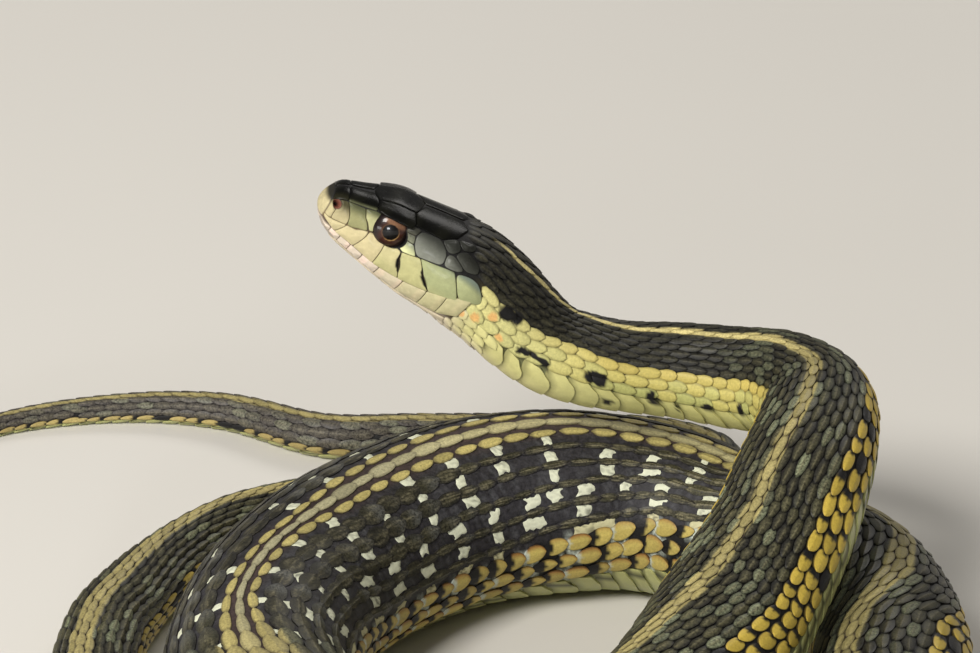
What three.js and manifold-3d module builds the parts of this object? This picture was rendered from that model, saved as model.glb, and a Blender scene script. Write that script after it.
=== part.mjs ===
// A garter snake at life size, lying in a loose coil with its head and neck raised.
// Millimetres, +Z up, belly on the floor at z = 0. The head points along -X.
import * as THREE from "three";
import { mergeVertices } from "three/addons/utils/BufferGeometryUtils.js";
import Module from "manifold-3d";

const wasm = await Module();
wasm.setup();

// Middle of the model's footprint in the numbers of the route below
const modelCentre = new THREE.Vector2(-10.98, -20.15);

// The route from snout to tail tip: x, y, height of the centre, half girth, roll to the left
// A height of null lays the belly on the floor
const route = [
  [-17, 3.4, 43.06, 5.3, 0],
  [-11.8, 3.4, 40.06, 5.3, 0],
  [-6.6, 3.4, 37.06, 5.3, 0],
  [-2.3, 3.4, 34.56, 5.3, 3],
  [0, 3.4, 32.4, 5.3, 8],
  [2.9, 3.4, 28.8, 5.05, 10],
  [6.1, 3.2, 26.1, 4.75, 11],
  [9.7, 3.3, 24.7, 4.7, 11],
  [13.6, 3.6, 23.8, 4.65, 11],
  [19.2, 3.8, 23.2, 4.9, 11],
  [24.7, 2.6, 23, 5.2, 10],
  [29.6, -0.4, 23.8, 5.4, 10],
  [32.6, -6, 24.3, 5.7, 11],
  [32, -13, 24, 6.3, 15],
  [30.3, -19, 22.3, 6.8, 15],
  [28, -24, 18.9, 7.1, 10],
  [24.2, -30, 14.8, 7.7, 10],
  [16.5, -43, 9.4, 8.4, 5],
  [7.5, -52, null, 9, 0],
  [-4.5, -56, null, 9.4, -6],
  [-16, -50.5, null, 9.5, -12],
  [-22, -37.5, null, 9.6, -15],
  [-20.7, -21.3, null, 9.7, -14],
  [-15, -10.2, null, 9.8, -7],
  [-6.2, -1.6, null, 9.8, 0],
  [0, 1.7, null, 9.75, 2],
  [7.2, 3.4, null, 9.6, 3],
  [13.8, 3.8, null, 9.1, 4],
  [19.4, 2.1, null, 8.7, 3],
  [24.9, -2, null, 8.4, 3],
  [31.2, -6.9, null, 8.2, 0],
  [36, -11.7, null, 8, -3],
  [38.6, -18.5, null, 7.9, 18],
  [39.4, -28, null, 7.9, 38],
  [37, -42, null, 7.7, 30],
  [29.5, -56, null, 7.3, 14],
  [15.5, -67.8, null, 6.9, 0],
  [-2, -73, null, 6.4, 0],
  [-18.5, -69.5, null, 5.9, 0],
  [-31.5, -58.5, null, 5.5, 0],
  [-38.5, -42, null, 5, -4],
  [-38.5, -17.6, null, 4.4, -8],
  [-37.7, -12.9, null, 4.3, -8],
  [-33.8, -2.7, null, 3.8, -6],
  [-28.4, 5.7, null, 3.5, -3],
  [-24.3, 9.3, null, 3.4, 0],
  [-8.5, 15.2, null, 3.3, 0],
  [6, 16.2, null, 3.1, 0],
  [17, 16.4, null, 2.95, 0],
  [23, 18.8, null, 2.85, 0],
  [23.9, 23.5, null, 2.8, 0],
  [18.5, 27.4, null, 2.75, 0],
  [6, 28.8, null, 2.65, 0],
  [-8, 29.4, null, 2.5, 0],
  [-17.3, 29.7, null, 2.4, 0],
  [-28.5, 35.9, null, 2, 0],
  [-39, 37.4, null, 1.6, 0],
  [-52, 34.5, null, 1.25, 0],
  [-62, 27, null, 0.9, 0],
  [-69, 17, null, 0.45, 0],
];

// The section of the body: the belly is flatter than the back and settles a little on the floor
const bellyDepth = 0.9;
const bellySquareness = 0.85;
const settle = 0.35;
const settlePerGirth = 0.08;

// The head's outline along its length: distance behind the snout, then the measure
const headTop = [
  [0, 1.3], [0.8, 2], [1.8, 2.5], [3.7, 3], [5.15, 3.5], [6.45, 4],
  [7.4, 4.2], [8.9, 4.3], [12, 4.65], [15, 4.85], [18, 4.85], [21, 4.9],
];
const headBottom = [
  [0, 1.3], [1, 1.95], [2, 2.6], [3, 3], [5.2, 3.5], [8, 4.15],
  [11.3, 4.75], [15.5, 5.2], [18, 5.5], [21, 5.4],
];
const headHalfWidth = [
  [0, 2], [1.5, 2.45], [4.3, 3.15], [7, 3.9], [9.5, 4.6], [12, 5.25], [15, 5.85], [17.5, 5.9], [21, 5.5],
];
const headRoundness = [[0, 0.8], [2, 0.7], [5, 0.6], [8, 0.6], [9.5, 0.75], [12, 0.85], [16, 0.95], [20, 1]];
const headBlendStart = 17;
const headBlendEnd = 26;
const snoutRounding = 1.6;
const headLength = 20.5;

// The mouth line's height in the head's own frame, and the corner of the mouth
const mouthLine = [
  [-2, -0.8], [0.9, -1.05], [2.6, -1.45], [4.9, -1.85], [7.3, -2.3],
  [10.2, -2.15], [13.3, -1.45], [16, -0.4], [17.7, 0.6],
];
const mouthCorner = 17.7;

// The shields of the head's left side, named as in a field guide
// Each corner is a distance behind the snout and an angle down from the midline of the crown,
// and every outline runs the same way round
const crownShields = {
  internasal: [[0.7, 0], [2.1, 0], [2.3, 50], [0.9, 55]],
  prefrontal: [[2.1, 0], [4.5, 0], [5, 18], [5.2, 50], [2.3, 50]],
  supraocular: [[5, 18], [8.8, 20], [9.1, 44], [8.2, 50], [6.6, 56], [5.2, 50]],
  parietal: [[9.6, 0], [14, 0], [14.6, 12], [13.7, 31], [12.1, 43], [9.1, 44], [8.8, 20]],
};
const frontal = [[4.5, 0], [5, -18], [8.8, -20], [9.6, 0], [8.8, 20], [5, 18]];
const cheekShields = {
  nasalFront: [[0.9, 55], [1.6, 53], [1.7, 100], [0.9, 104]],
  nasalRear: [[1.6, 53], [2.3, 50], [3, 78], [3.3, 92], [1.7, 100]],
  loreal: [[2.3, 50], [4.1, 52], [4.4, 72], [5.1, 89], [3.3, 92], [3, 78]],
  preocular: [[4.1, 52], [5.2, 50], [5.9, 54], [5.5, 84], [5.1, 89], [4.4, 72]],
  postocularHigh: [[8.2, 50], [9.1, 44], [9.9, 46], [9.6, 58], [9, 56]],
  postocularMiddle: [[9, 56], [9.6, 58], [9.8, 70], [9.3, 70]],
  postocularLow: [[9.3, 70], [9.8, 70], [10.4, 82], [9, 91], [9.1, 82]],
  temporalFront: [[9.9, 46], [12.1, 43], [13.2, 55], [13.2, 66], [11, 80], [10.4, 82], [9.8, 70], [9.6, 58]],
  temporalHigh: [[12.1, 43], [13.7, 31], [14.5, 43], [13.9, 52], [13.2, 55]],
  temporalLow: [[13.2, 55], [13.9, 52], [15.4, 62], [14.7, 70], [13.2, 66]],
};
// Upper lip: the seven sutures' upper and lower ends
const lipSutures = [
  [[0.9, 104], [0.9, 112]], [[3.3, 92], [2.6, 122]], [[5.1, 89], [4.9, 122]], [[7.1, 98], [7.4, 125]],
  [[9, 91], [10.2, 118]], [[11, 80], [13.3, 107]], [[14.7, 70], [16.1, 94]], [[16.2, 63], [17.7, 76]],
];
// Lower lip: sutures along the mouth line, and the angle of the lower edge
const lowerLipSutures = [1.1, 2.2, 3.4, 4.7, 6.2, 8.2, 10.8, 13.2, 15.2, 17.2];
const lowerLipEdge = [[1, 128], [3, 142], [6, 150], [9, 149], [12, 142], [15, 132], [17.5, 116]];
const chinShields = {
  front: [[2.4, 177], [3.2, 150], [6.8, 158], [6.4, 177]],
  rear: [[6.4, 176], [6.8, 158], [10.9, 156], [10.8, 172]],
};
const shieldRise = 0.16;
const browRise = 0.28;
const shieldCrown = 0.06;
const shieldRoot = 0.45;
const shieldInset = 0.1;

// Eyes, nostrils and the parting between nodes
const eye = { back: 7.35, height: 1.7, side: 3.05, radius: 2, depth: 1.35, tilt: 0.12 };
const nostril = { back: 1.45, height: 1.15, side: 2.9, radius: 0.45, depth: 1.6 };
const gap = 0.3;

// Belly scutes: their edge angle from the back, length, raised rear edge and the step's width
const scuteEdge = 118;
const scuteLength = 2.2;
const scuteLengthPerGirth = 0.42;
const scuteRise = 0.25;
const scuteStep = 0.2;

// Lengths of the body as a person would name them, measured from the snout
const neckEnd = 66;
const vent = 457;
const neckNodes = 2;
const bodyNodes = 15;
const tailNodes = 6;

const bodyAngles = [0, 28, 56, 84, 112, 122, 143, 165, 195, 217, 238, 248, 276, 304, 332];
const headAngles = Array.from({ length: 24 }, (_, i) => i * 15);

const skin = { color: 0x3a3b2c, roughness: 0.5, metalness: 0 };
const headSkin = { color: 0x2b2d26, roughness: 0.4, metalness: 0 };
const jawSkin = { color: 0xc9c79a, roughness: 0.45, metalness: 0 };
const eyeGloss = { color: 0x2a120c, roughness: 0.08, metalness: 0 };

const up = new THREE.Vector3(0, 0, 1);

// Value of a measure given at a few distances, straight between them
function along(table, s) {
  const i = table.findIndex(([at]) => at >= s);
  if (i < 0) return table[table.length - 1][1];
  if (i === 0) return table[0][1];
  const [a, va] = table[i - 1];
  const [b, vb] = table[i];
  return va + ((vb - va) * (s - a)) / (b - a);
}

// Smooth value of one column of the route at a fractional station
function column(k, station) {
  const i = Math.min(route.length - 2, Math.floor(station));
  const t = station - i;
  const at = (j) => route[Math.max(0, Math.min(route.length - 1, j))][k];
  const [a, b, c, d] = [at(i - 1), at(i), at(i + 1), at(i + 2)];
  return b + 0.5 * t * (c - a + t * (2 * a - 5 * b + 4 * c - d + t * (3 * (b - c) + d - a)));
}

const restingHeight = (girth) => bellyDepth * girth - Math.min(settle, settlePerGirth * girth);

// The centre line, with its length measured in short steps
const centreLine = new THREE.CatmullRomCurve3(
  route.map(([x, y, z, girth]) => new THREE.Vector3(x, y, z ?? restingHeight(girth))),
  false,
  "centripetal",
);
const stepsPerStation = 30;
const steps = (route.length - 1) * stepsPerStation;
centreLine.arcLengthDivisions = steps;
const lengths = centreLine.getLengths(steps);
const totalLength = lengths[steps];

function stationAt(s) {
  const i = Math.max(1, lengths.findIndex((length) => length >= s));
  const t = (s - lengths[i - 1]) / (lengths[i] - lengths[i - 1]);
  return (i - 1 + t) / stepsPerStation;
}

// Centre, girth and directions of the body at a distance behind the snout
function frameAt(s) {
  const station = stationAt(Math.min(s, totalLength - 0.001));
  const u = station / (route.length - 1);
  const centre = centreLine.getPoint(u);
  const ahead = centreLine.getPoint(Math.min(1, u + 1e-4));
  const behind = centreLine.getPoint(Math.max(0, u - 1e-4));
  const back = ahead.sub(behind).normalize();
  const dorsal = up.clone().addScaledVector(back, -up.dot(back)).normalize();
  dorsal.applyAxisAngle(back, THREE.MathUtils.degToRad(column(4, station)));
  const left = new THREE.Vector3().crossVectors(back, dorsal);
  return { centre, dorsal, left, girth: column(3, station) };
}

// Half height above and below, half width and corner roundness of the section
function sectionAt(s, girth) {
  const blend = THREE.MathUtils.smoothstep(s, headBlendStart, headBlendEnd);
  const tip = s < snoutRounding ? Math.sqrt(1 - (1 - s / snoutRounding) ** 2) : 1;
  const mix = (table, bodyValue) => THREE.MathUtils.lerp(along(table, s) * tip, bodyValue, blend);
  return {
    top: mix(headTop, girth),
    bottom: mix(headBottom, girth * bellyDepth),
    width: mix(headHalfWidth, girth),
    round: THREE.MathUtils.lerp(along(headRoundness, s), 1, blend),
  };
}

// A point of the skin: the angle runs from the back, over the left side, to the belly
function skinPoint(s, degrees, lift = 0) {
  const { centre, dorsal, left, girth } = frameAt(s);
  const { top, bottom, width, round } = sectionAt(s, girth);
  const angle = THREE.MathUtils.degToRad(degrees);
  const c = Math.cos(angle);
  const d = Math.sin(angle);
  const side = Math.sign(d) * (width + lift) * Math.abs(d) ** (c >= 0 ? round : bellySquareness);
  const height = c >= 0 ? (top + lift) * c ** round : (bottom + lift) * c;
  const point = centre.addScaledVector(left, side).addScaledVector(dorsal, height);
  point.z = Math.max(0, point.z);
  return point;
}

// A closed surface through rings of points, each ring listed the same way round
function loft(rings) {
  const sides = rings[0].length;
  const middle = (ring) => ring.reduce((sum, p) => sum.add(p), new THREE.Vector3()).divideScalar(sides);
  const points = [...rings.flat(), middle(rings[0]), middle(rings[rings.length - 1])];
  const first = points.length - 2;
  const last = points.length - 1;
  const index = [];
  for (let j = 0; j < sides; j++) {
    const k = (j + 1) % sides;
    for (let i = 0; i < rings.length - 1; i++) {
      const a = i * sides;
      const b = a + sides;
      index.push(a + j, b + k, b + j, a + j, a + k, b + k);
    }
    const end = (rings.length - 1) * sides;
    index.push(first, k, j, last, end + j, end + k);
  }
  const geometry = new THREE.BufferGeometry().setFromPoints(points);
  geometry.setIndex(index);
  return geometry;
}

const ringAt = (s, angles, riseAt = () => 0) => angles.map((angle) => skinPoint(s, angle, riseAt(angle)));

function toSolid(geometry) {
  const bare = geometry.index ? geometry : mergeVertices(geometry);
  return new wasm.Manifold(
    new wasm.Mesh({
      numProp: 3,
      vertProperties: new Float32Array(bare.attributes.position.array),
      triVerts: new Uint32Array(bare.index.array),
    }),
  );
}

function bareGeometry(geometry) {
  geometry.deleteAttribute("normal");
  geometry.deleteAttribute("uv");
  return mergeVertices(geometry, 1e-5);
}

// The largest closed surface of a solid, as a geometry
function toGeometry(solid) {
  const pieces = solid.decompose().sort((a, b) => b.volume() - a.volume());
  const mesh = pieces[0].getMesh();
  const geometry = new THREE.BufferGeometry();
  geometry.setAttribute("position", new THREE.BufferAttribute(new Float32Array(mesh.vertProperties), 3));
  geometry.setIndex(new THREE.BufferAttribute(new Uint32Array(mesh.triVerts), 1));
  return geometry;
}

const snake = new THREE.Group();

function addPart(name, geometry, surface) {
  const mesh = new THREE.Mesh(geometry, new THREE.MeshStandardMaterial(surface));
  mesh.name = name;
  mesh.position.set(-modelCentre.x, -modelCentre.y, 0);
  snake.add(mesh);
}

// The head's own frame: back along the skull, dorsal and left
const headFrame = frameAt(1);
const headBack = new THREE.Vector3().crossVectors(headFrame.dorsal, headFrame.left);
const headBasis = new THREE.Matrix4().makeBasis(headBack, headFrame.dorsal, headFrame.left);
const snoutTip = new THREE.Vector3(...route[0].slice(0, 3));

// Places a geometry built in the head's frame: x back, y up the skull, z to the left
function placeOnHead(geometry) {
  geometry.applyMatrix4(headBasis);
  return geometry.translate(snoutTip.x, snoutTip.y, snoutTip.z);
}

// The block below the mouth line, grown by a clearance, that parts the lower jaw from the head
function jawBlock(clearance) {
  const outline = mouthLine.map(([s, level]) => new THREE.Vector2(s, level + clearance));
  outline.push(new THREE.Vector2(mouthCorner + clearance, mouthLine[mouthLine.length - 1][1] + clearance));
  outline.push(new THREE.Vector2(mouthCorner + clearance, -12));
  outline.push(new THREE.Vector2(-2, -12));
  const block = new THREE.ExtrudeGeometry(new THREE.Shape(outline), { depth: 24, bevelEnabled: false });
  block.translate(0, 0, -12);
  return toSolid(placeOnHead(bareGeometry(block)));
}

function eyeball(sign, growth) {
  const ball = new THREE.SphereGeometry(1, 20, 12);
  ball.scale(eye.radius + growth, eye.radius + growth, eye.depth + growth);
  ball.rotateX(-sign * eye.tilt);
  ball.translate(eye.back, eye.height, sign * eye.side);
  return placeOnHead(bareGeometry(ball));
}

function nostrilPit(sign) {
  const pit = new THREE.CylinderGeometry(nostril.radius, nostril.radius * 0.5, nostril.depth, 8);
  pit.rotateX(sign * (Math.PI / 2));
  pit.translate(nostril.back, nostril.height, sign * nostril.side);
  return toSolid(placeOnHead(bareGeometry(pit)));
}

// One raised shield: its edge follows the skin and its middle is slightly crowned
function shieldSolid(corners, sign, rise = shieldRise) {
  const middle = [0, 1].map((k) => corners.reduce((sum, corner) => sum + corner[k], 0) / corners.length);
  const edge = corners.flatMap(([s, angle], i) => {
    const [nextS, nextAngle] = corners[(i + 1) % corners.length];
    return [[s, angle], [(s + nextS) / 2, (angle + nextAngle) / 2]];
  });
  const at = ([s, angle], lift) => skinPoint(s, sign * angle, lift);
  const centre = at(middle, 0);
  const inner = edge.map(([s, angle]) => {
    const share = shieldInset / at([s, angle], 0).distanceTo(centre);
    return [s + (middle[0] - s) * share, angle + (middle[1] - angle) * share];
  });
  if (sign < 0) inner.reverse();
  const count = inner.length;
  const points = [
    ...inner.map((place) => at(place, rise)),
    ...inner.map((place) => at(place, -shieldRoot)),
    at(middle, rise + shieldCrown),
    at(middle, -shieldRoot),
  ];
  const index = [];
  for (let j = 0; j < count; j++) {
    const k = (j + 1) % count;
    index.push(2 * count, k, j, 2 * count + 1, count + j, count + k);
    index.push(j, k, count + k, j, count + k, count + j);
  }
  const geometry = new THREE.BufferGeometry().setFromPoints(points);
  geometry.setIndex(index);
  return toSolid(geometry);
}

// The angle of the mouth line on the skin
function mouthAngle(s) {
  const { top, bottom, round } = sectionAt(s, frameAt(s).girth);
  const level = along(mouthLine, s);
  const cosine = level < 0 ? level / bottom : (level / top) ** (1 / round);
  return THREE.MathUtils.radToDeg(Math.acos(cosine));
}

function upperShields(sign) {
  const { supraocular, ...crown } = crownShields;
  const lips = lipSutures.slice(1).map(([high, low], i) => {
    const [frontHigh, frontLow] = lipSutures[i];
    return [frontHigh, high, low, frontLow];
  });
  const flat = [...Object.values(crown), ...Object.values(cheekShields), ...lips];
  return [shieldSolid(supraocular, sign, browRise), ...flat.map((corners) => shieldSolid(corners, sign))];
}

function lowerShields(sign) {
  const lips = lowerLipSutures.slice(1).map((end, i) => {
    const start = lowerLipSutures[i];
    const edge = (s) => along(lowerLipEdge, s);
    return [[start, mouthAngle(start)], [end, mouthAngle(end)], [end, edge(end)], [start, edge(start)]];
  });
  return [...lips, ...Object.values(chinShields)].map((corners) => shieldSolid(corners, sign));
}

function makeHead() {
  const places = [0.04, 0.3, 0.9, 1.6];
  for (let s = 3; s < headLength - 0.5; s += 1.35) places.push(s);
  places.push(headLength - gap / 2);
  const whole = toSolid(loft(places.map((s) => ringAt(s, headAngles))));
  const upper = [shieldSolid(frontal, 1), ...upperShields(1), ...upperShields(-1)];
  const lower = [...lowerShields(1), ...lowerShields(-1)];
  let head = upper.reduce((sum, shield) => sum.add(shield), whole).subtract(jawBlock(gap));
  const jaw = lower.reduce((sum, shield) => sum.add(shield), whole).intersect(jawBlock(0));
  for (const sign of [1, -1]) {
    head = head.subtract(toSolid(eyeball(sign, gap)));
    head = head.subtract(nostrilPit(sign));
    addPart(sign > 0 ? "eye_left" : "eye_right", eyeball(sign, 0), eyeGloss);
  }
  addPart("head", toGeometry(head), headSkin);
  addPart("lower_jaw", toGeometry(jaw), jawSkin);
}

// Front edges of the belly scutes between two distances, evenly shared
function scuteEdges(start, end) {
  const middle = frameAt((start + end) / 2).girth;
  const count = Math.max(2, Math.round((end - start) / (scuteLength + scuteLengthPerGirth * middle)));
  return Array.from({ length: count + 1 }, (_, i) => start + ((end - start) * i) / count);
}

// One length of the body, its belly scutes rising to their rear edges
function bodyLength(start, end) {
  const edges = scuteEdges(start + gap / 2, end - gap / 2);
  const rise = (angle) => (angle > scuteEdge && angle < 360 - scuteEdge ? scuteRise : 0);
  const rings = [];
  for (let i = 0; i < edges.length - 1; i++) {
    const last = i === edges.length - 2;
    rings.push(ringAt(edges[i], bodyAngles));
    rings.push(ringAt(last ? edges[i + 1] : edges[i + 1] - scuteStep, bodyAngles, rise));
  }
  return loft(rings);
}

function addLengths(name, count, start, end) {
  for (let i = 0; i < count; i++) {
    const from = start + ((end - start) * i) / count;
    const to = start + ((end - start) * (i + 1)) / count;
    addPart(`${name}_${String(i + 1).padStart(2, "0")}`, bodyLength(from, to), skin);
  }
}

makeHead();
addLengths("neck", neckNodes, headLength, neckEnd);
addLengths("body", bodyNodes, neckEnd, vent);
addLengths("tail", tailNodes, vent, totalLength);

export default snake;
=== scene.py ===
"""The looks of a life-size garter snake that lies in a loose coil with its head raised.

The skin, the shields of the head, the keeled scales, the belly scutes and the eyes are all
laid out on one surface: a place on it has a distance s behind the snout, in millimetres, and
an angle in degrees from the middle of the back over the left side to the belly.
"""

import math

import bpy
import numpy as np
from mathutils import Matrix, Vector


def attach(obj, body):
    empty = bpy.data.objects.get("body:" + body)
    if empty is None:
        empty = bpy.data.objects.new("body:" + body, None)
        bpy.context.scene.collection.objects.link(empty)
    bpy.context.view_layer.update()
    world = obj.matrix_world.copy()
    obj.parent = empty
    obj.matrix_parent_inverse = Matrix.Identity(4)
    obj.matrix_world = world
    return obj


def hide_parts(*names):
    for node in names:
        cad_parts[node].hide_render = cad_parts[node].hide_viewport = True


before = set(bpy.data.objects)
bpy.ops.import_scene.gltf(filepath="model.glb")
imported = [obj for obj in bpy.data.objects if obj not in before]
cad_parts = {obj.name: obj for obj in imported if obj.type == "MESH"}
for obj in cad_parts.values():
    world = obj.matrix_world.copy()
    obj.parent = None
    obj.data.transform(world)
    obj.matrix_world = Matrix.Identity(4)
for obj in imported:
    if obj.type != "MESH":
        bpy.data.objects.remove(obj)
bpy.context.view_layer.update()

MM = 0.001
MODEL_CENTRE = np.array([-10.98, -20.15, 0.0])

# Snout to tail tip: x, y, height of the centre (None on the floor), half girth, roll to the left
ROUTE = [
    (-17, 3.4, 43.06, 5.3, 0), (-11.8, 3.4, 40.06, 5.3, 0), (-6.6, 3.4, 37.06, 5.3, 0),
    (-2.3, 3.4, 34.56, 5.3, 3), (0, 3.4, 32.4, 5.3, 8), (2.9, 3.4, 28.8, 5.05, 10),
    (6.1, 3.2, 26.1, 4.75, 11), (9.7, 3.3, 24.7, 4.7, 11), (13.6, 3.6, 23.8, 4.65, 11),
    (19.2, 3.8, 23.2, 4.9, 11), (24.7, 2.6, 23, 5.2, 10), (29.6, -0.4, 23.8, 5.4, 10),
    (32.6, -6, 24.3, 5.7, 11), (32, -13, 24, 6.3, 15), (30.3, -19, 22.3, 6.8, 15),
    (28, -24, 18.9, 7.1, 10), (24.2, -30, 14.8, 7.7, 10), (16.5, -43, 9.4, 8.4, 5),
    (7.5, -52, None, 9, 0), (-4.5, -56, None, 9.4, -6), (-16, -50.5, None, 9.5, -12),
    (-22, -37.5, None, 9.6, -15), (-20.7, -21.3, None, 9.7, -14), (-15, -10.2, None, 9.8, -7),
    (-6.2, -1.6, None, 9.8, 0), (0, 1.7, None, 9.75, 2), (7.2, 3.4, None, 9.6, 3),
    (13.8, 3.8, None, 9.1, 4), (19.4, 2.1, None, 8.7, 3), (24.9, -2, None, 8.4, 3),
    (31.2, -6.9, None, 8.2, 0), (36, -11.7, None, 8, -3), (38.6, -18.5, None, 7.9, 18),
    (39.4, -28, None, 7.9, 38), (37, -42, None, 7.7, 30), (29.5, -56, None, 7.3, 14),
    (15.5, -67.8, None, 6.9, 0), (-2, -73, None, 6.4, 0), (-18.5, -69.5, None, 5.9, 0),
    (-31.5, -58.5, None, 5.5, 0), (-38.5, -42, None, 5, -4), (-38.5, -17.6, None, 4.4, -8),
    (-37.7, -12.9, None, 4.3, -8), (-33.8, -2.7, None, 3.8, -6), (-28.4, 5.7, None, 3.5, -3),
    (-24.3, 9.3, None, 3.4, 0), (-8.5, 15.2, None, 3.3, 0), (6, 16.2, None, 3.1, 0),
    (17, 16.4, None, 2.95, 0), (23, 18.8, None, 2.85, 0), (23.9, 23.5, None, 2.8, 0),
    (18.5, 27.4, None, 2.75, 0), (6, 28.8, None, 2.65, 0), (-8, 29.4, None, 2.5, 0),
    (-17.3, 29.7, None, 2.4, 0), (-28.5, 35.9, None, 2, 0), (-39, 37.4, None, 1.6, 0),
    (-52, 34.5, None, 1.25, 0), (-62, 27, None, 0.9, 0), (-69, 17, None, 0.45, 0),
]
STEPS = 40  # of the centre line from one station to the next
BELLY_DEPTH = 0.9
BELLY_SQUARENESS = 0.85
SETTLE, SETTLE_PER_GIRTH = 0.35, 0.08  # how far the belly gives on the floor
FLOOR_GAP = 0.01  # lowest height of any point


def resting_height(girth):
    return BELLY_DEPTH * girth - np.minimum(SETTLE, SETTLE_PER_GIRTH * girth)


def unit(v):
    return v / np.linalg.norm(v, axis=-1, keepdims=True)


def column(values):
    """One column of the route, smooth between its stations."""
    v = np.concatenate([values[:1], values, values[-1:]])
    a, b, c, d = (v[i : len(v) - 3 + i, None] for i in range(4))
    t = np.arange(STEPS) / STEPS
    fine = b + 0.5 * t * (c - a + t * (2 * a - 5 * b + 4 * c - d + t * (3 * (b - c) + d - a)))
    return np.append(fine.ravel(), values[-1])


def centre_points(points):
    """The centre line through the stations, by a centripetal spline."""
    p = np.vstack([2 * points[0] - points[1], points, 2 * points[-1] - points[-2]])
    gap = np.sqrt(np.linalg.norm(np.diff(p, axis=0), axis=1))
    p0, p1, p2, p3 = (p[i : len(p) - 3 + i] for i in range(4))
    d0, d1, d2 = (gap[i : len(gap) - 2 + i, None] for i in range(3))
    m1 = ((p1 - p0) / d0 - (p2 - p0) / (d0 + d1) + (p2 - p1) / d1) * d1
    m2 = ((p2 - p1) / d1 - (p3 - p1) / (d1 + d2) + (p3 - p2) / d2) * d1
    t = (np.arange(STEPS) / STEPS)[None, :, None]
    p1, p2, m1, m2 = (q[:, None, :] for q in (p1, p2, m1, m2))
    fine = (
        (2 * t**3 - 3 * t**2 + 1) * p1
        + (t**3 - 2 * t**2 + t) * m1
        + (3 * t**2 - 2 * t**3) * p2
        + (t**3 - t**2) * m2
    )
    return np.vstack([fine.reshape(-1, 3), points[-1]])


def spine_table():
    """Distance behind the snout, then centre, back, dorsal, left and half girth at close steps."""
    girth = np.array([r[3] for r in ROUTE], float)
    height = [resting_height(r[3]) if r[2] is None else r[2] for r in ROUTE]
    centre = centre_points(np.array([(r[0], r[1], h) for r, h in zip(ROUTE, height)], float))
    s = np.append(0, np.cumsum(np.linalg.norm(np.diff(centre, axis=0), axis=1)))
    back = unit(np.gradient(centre, s, axis=0))
    dorsal = unit(np.array([0, 0, 1]) - back[:, 2:] * back)
    left = np.cross(back, dorsal)
    roll = np.radians(column(np.array([r[4] for r in ROUTE], float)))[:, None]
    rolled = dorsal * np.cos(roll) + left * np.sin(roll)
    return s, np.hstack([centre, rolled, np.cross(back, rolled), column(girth)[:, None]])


SPINE_S, SPINE = spine_table()
LENGTH = SPINE_S[-1]


def soften(table):
    """A measure of the head given at a few distances, rounded where its slope changes."""
    step, spread, reach, trim = 0.05, 0.4, 24, 30
    fine = np.arange(-3, 33, step)
    kernel = np.exp(-0.5 * (np.arange(-reach, reach + 1) * step / spread) ** 2)
    at, values = zip(*table)
    smooth = np.convolve(np.interp(fine, at, values), kernel / kernel.sum(), "same")
    return fine[trim:-trim], smooth[trim:-trim]


# The head's outline: distance behind the snout, then the measure
HEAD_TOP = soften([
    (0, 1.3), (0.8, 2), (1.8, 2.5), (3.7, 3), (5.15, 3.5), (6.45, 4),
    (7.4, 4.2), (8.9, 4.3), (12, 4.65), (15, 4.85), (18, 4.85), (21, 4.9),
])
HEAD_BOTTOM = soften([
    (0, 1.3), (1, 1.95), (2, 2.6), (3, 3), (5.2, 3.5), (8, 4.15),
    (11.3, 4.75), (15.5, 5.2), (18, 5.5), (21, 5.4),
])
HEAD_WIDTH = soften([
    (0, 2), (1.5, 2.45), (4.3, 3.15), (7, 3.9), (9.5, 4.6), (12, 5.25), (15, 5.85),
    (17.5, 5.9), (21, 5.5),
])
HEAD_ROUND = soften([
    (0, 0.8), (2, 0.7), (5, 0.6), (8, 0.6), (9.5, 0.75), (12, 0.85), (16, 0.95), (20, 1),
])
HEAD_BLEND = (17, 26)  # where it passes into the body's
HEAD_GIRTH = 5.3  # half girth of the route at the head
SNOUT_ROUNDING = 1.6


def ramp(x, low, high):
    """0 below low, 1 above high, smooth between."""
    t = np.clip((np.asarray(x, float) - low) / (high - low), 0, 1)
    return t * t * (3 - 2 * t)


def fade(x, low, high):
    """1 below low, 0 above high, smooth between."""
    return 1 - ramp(x, low, high)


def section(s, girth):
    """Reach of the body above and below its centre and to its side, and how round its back is."""
    blend = ramp(s, *HEAD_BLEND)
    tip = np.sqrt(np.clip(1 - (1 - np.minimum(s, SNOUT_ROUNDING) / SNOUT_ROUNDING) ** 2, 0, 1))

    def measure(table, body):
        return np.interp(s, *table) * tip * (1 - blend) + body * blend

    return (
        measure(HEAD_TOP, girth),
        measure(HEAD_BOTTOM, girth * BELLY_DEPTH),
        measure(HEAD_WIDTH, girth),
        np.interp(s, *HEAD_ROUND) * (1 - blend) + blend,
    )


def spine_at(s):
    s = np.clip(s, 0, LENGTH)
    columns = [np.interp(s, SPINE_S, SPINE[:, k]) for k in range(10)]
    row = np.stack(columns, -1)
    return row[..., :3], unit(row[..., 3:6]), unit(row[..., 6:9]), row[..., 9]


def surface(s, degrees, lift=0.0):
    """Points of the skin, lifted outward, in millimetres."""
    s, degrees, lift = np.broadcast_arrays(
        np.asarray(s, float), np.asarray(degrees, float), np.asarray(lift, float)
    )
    centre, dorsal, left, girth = spine_at(s)
    top, bottom, width, rounding = section(s, girth)
    c, d = np.cos(np.radians(degrees)), np.sin(np.radians(degrees))
    power = np.where(c >= 0, rounding, BELLY_SQUARENESS)
    side = np.sign(d) * (width + lift) * np.abs(d) ** power
    height = np.where(c >= 0, (top + lift) * np.abs(c) ** rounding, (bottom + lift) * c)
    points = centre + left * side[..., None] + dorsal * height[..., None]
    points[..., 2] = np.maximum(points[..., 2], FLOOR_GAP)
    return points


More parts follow.
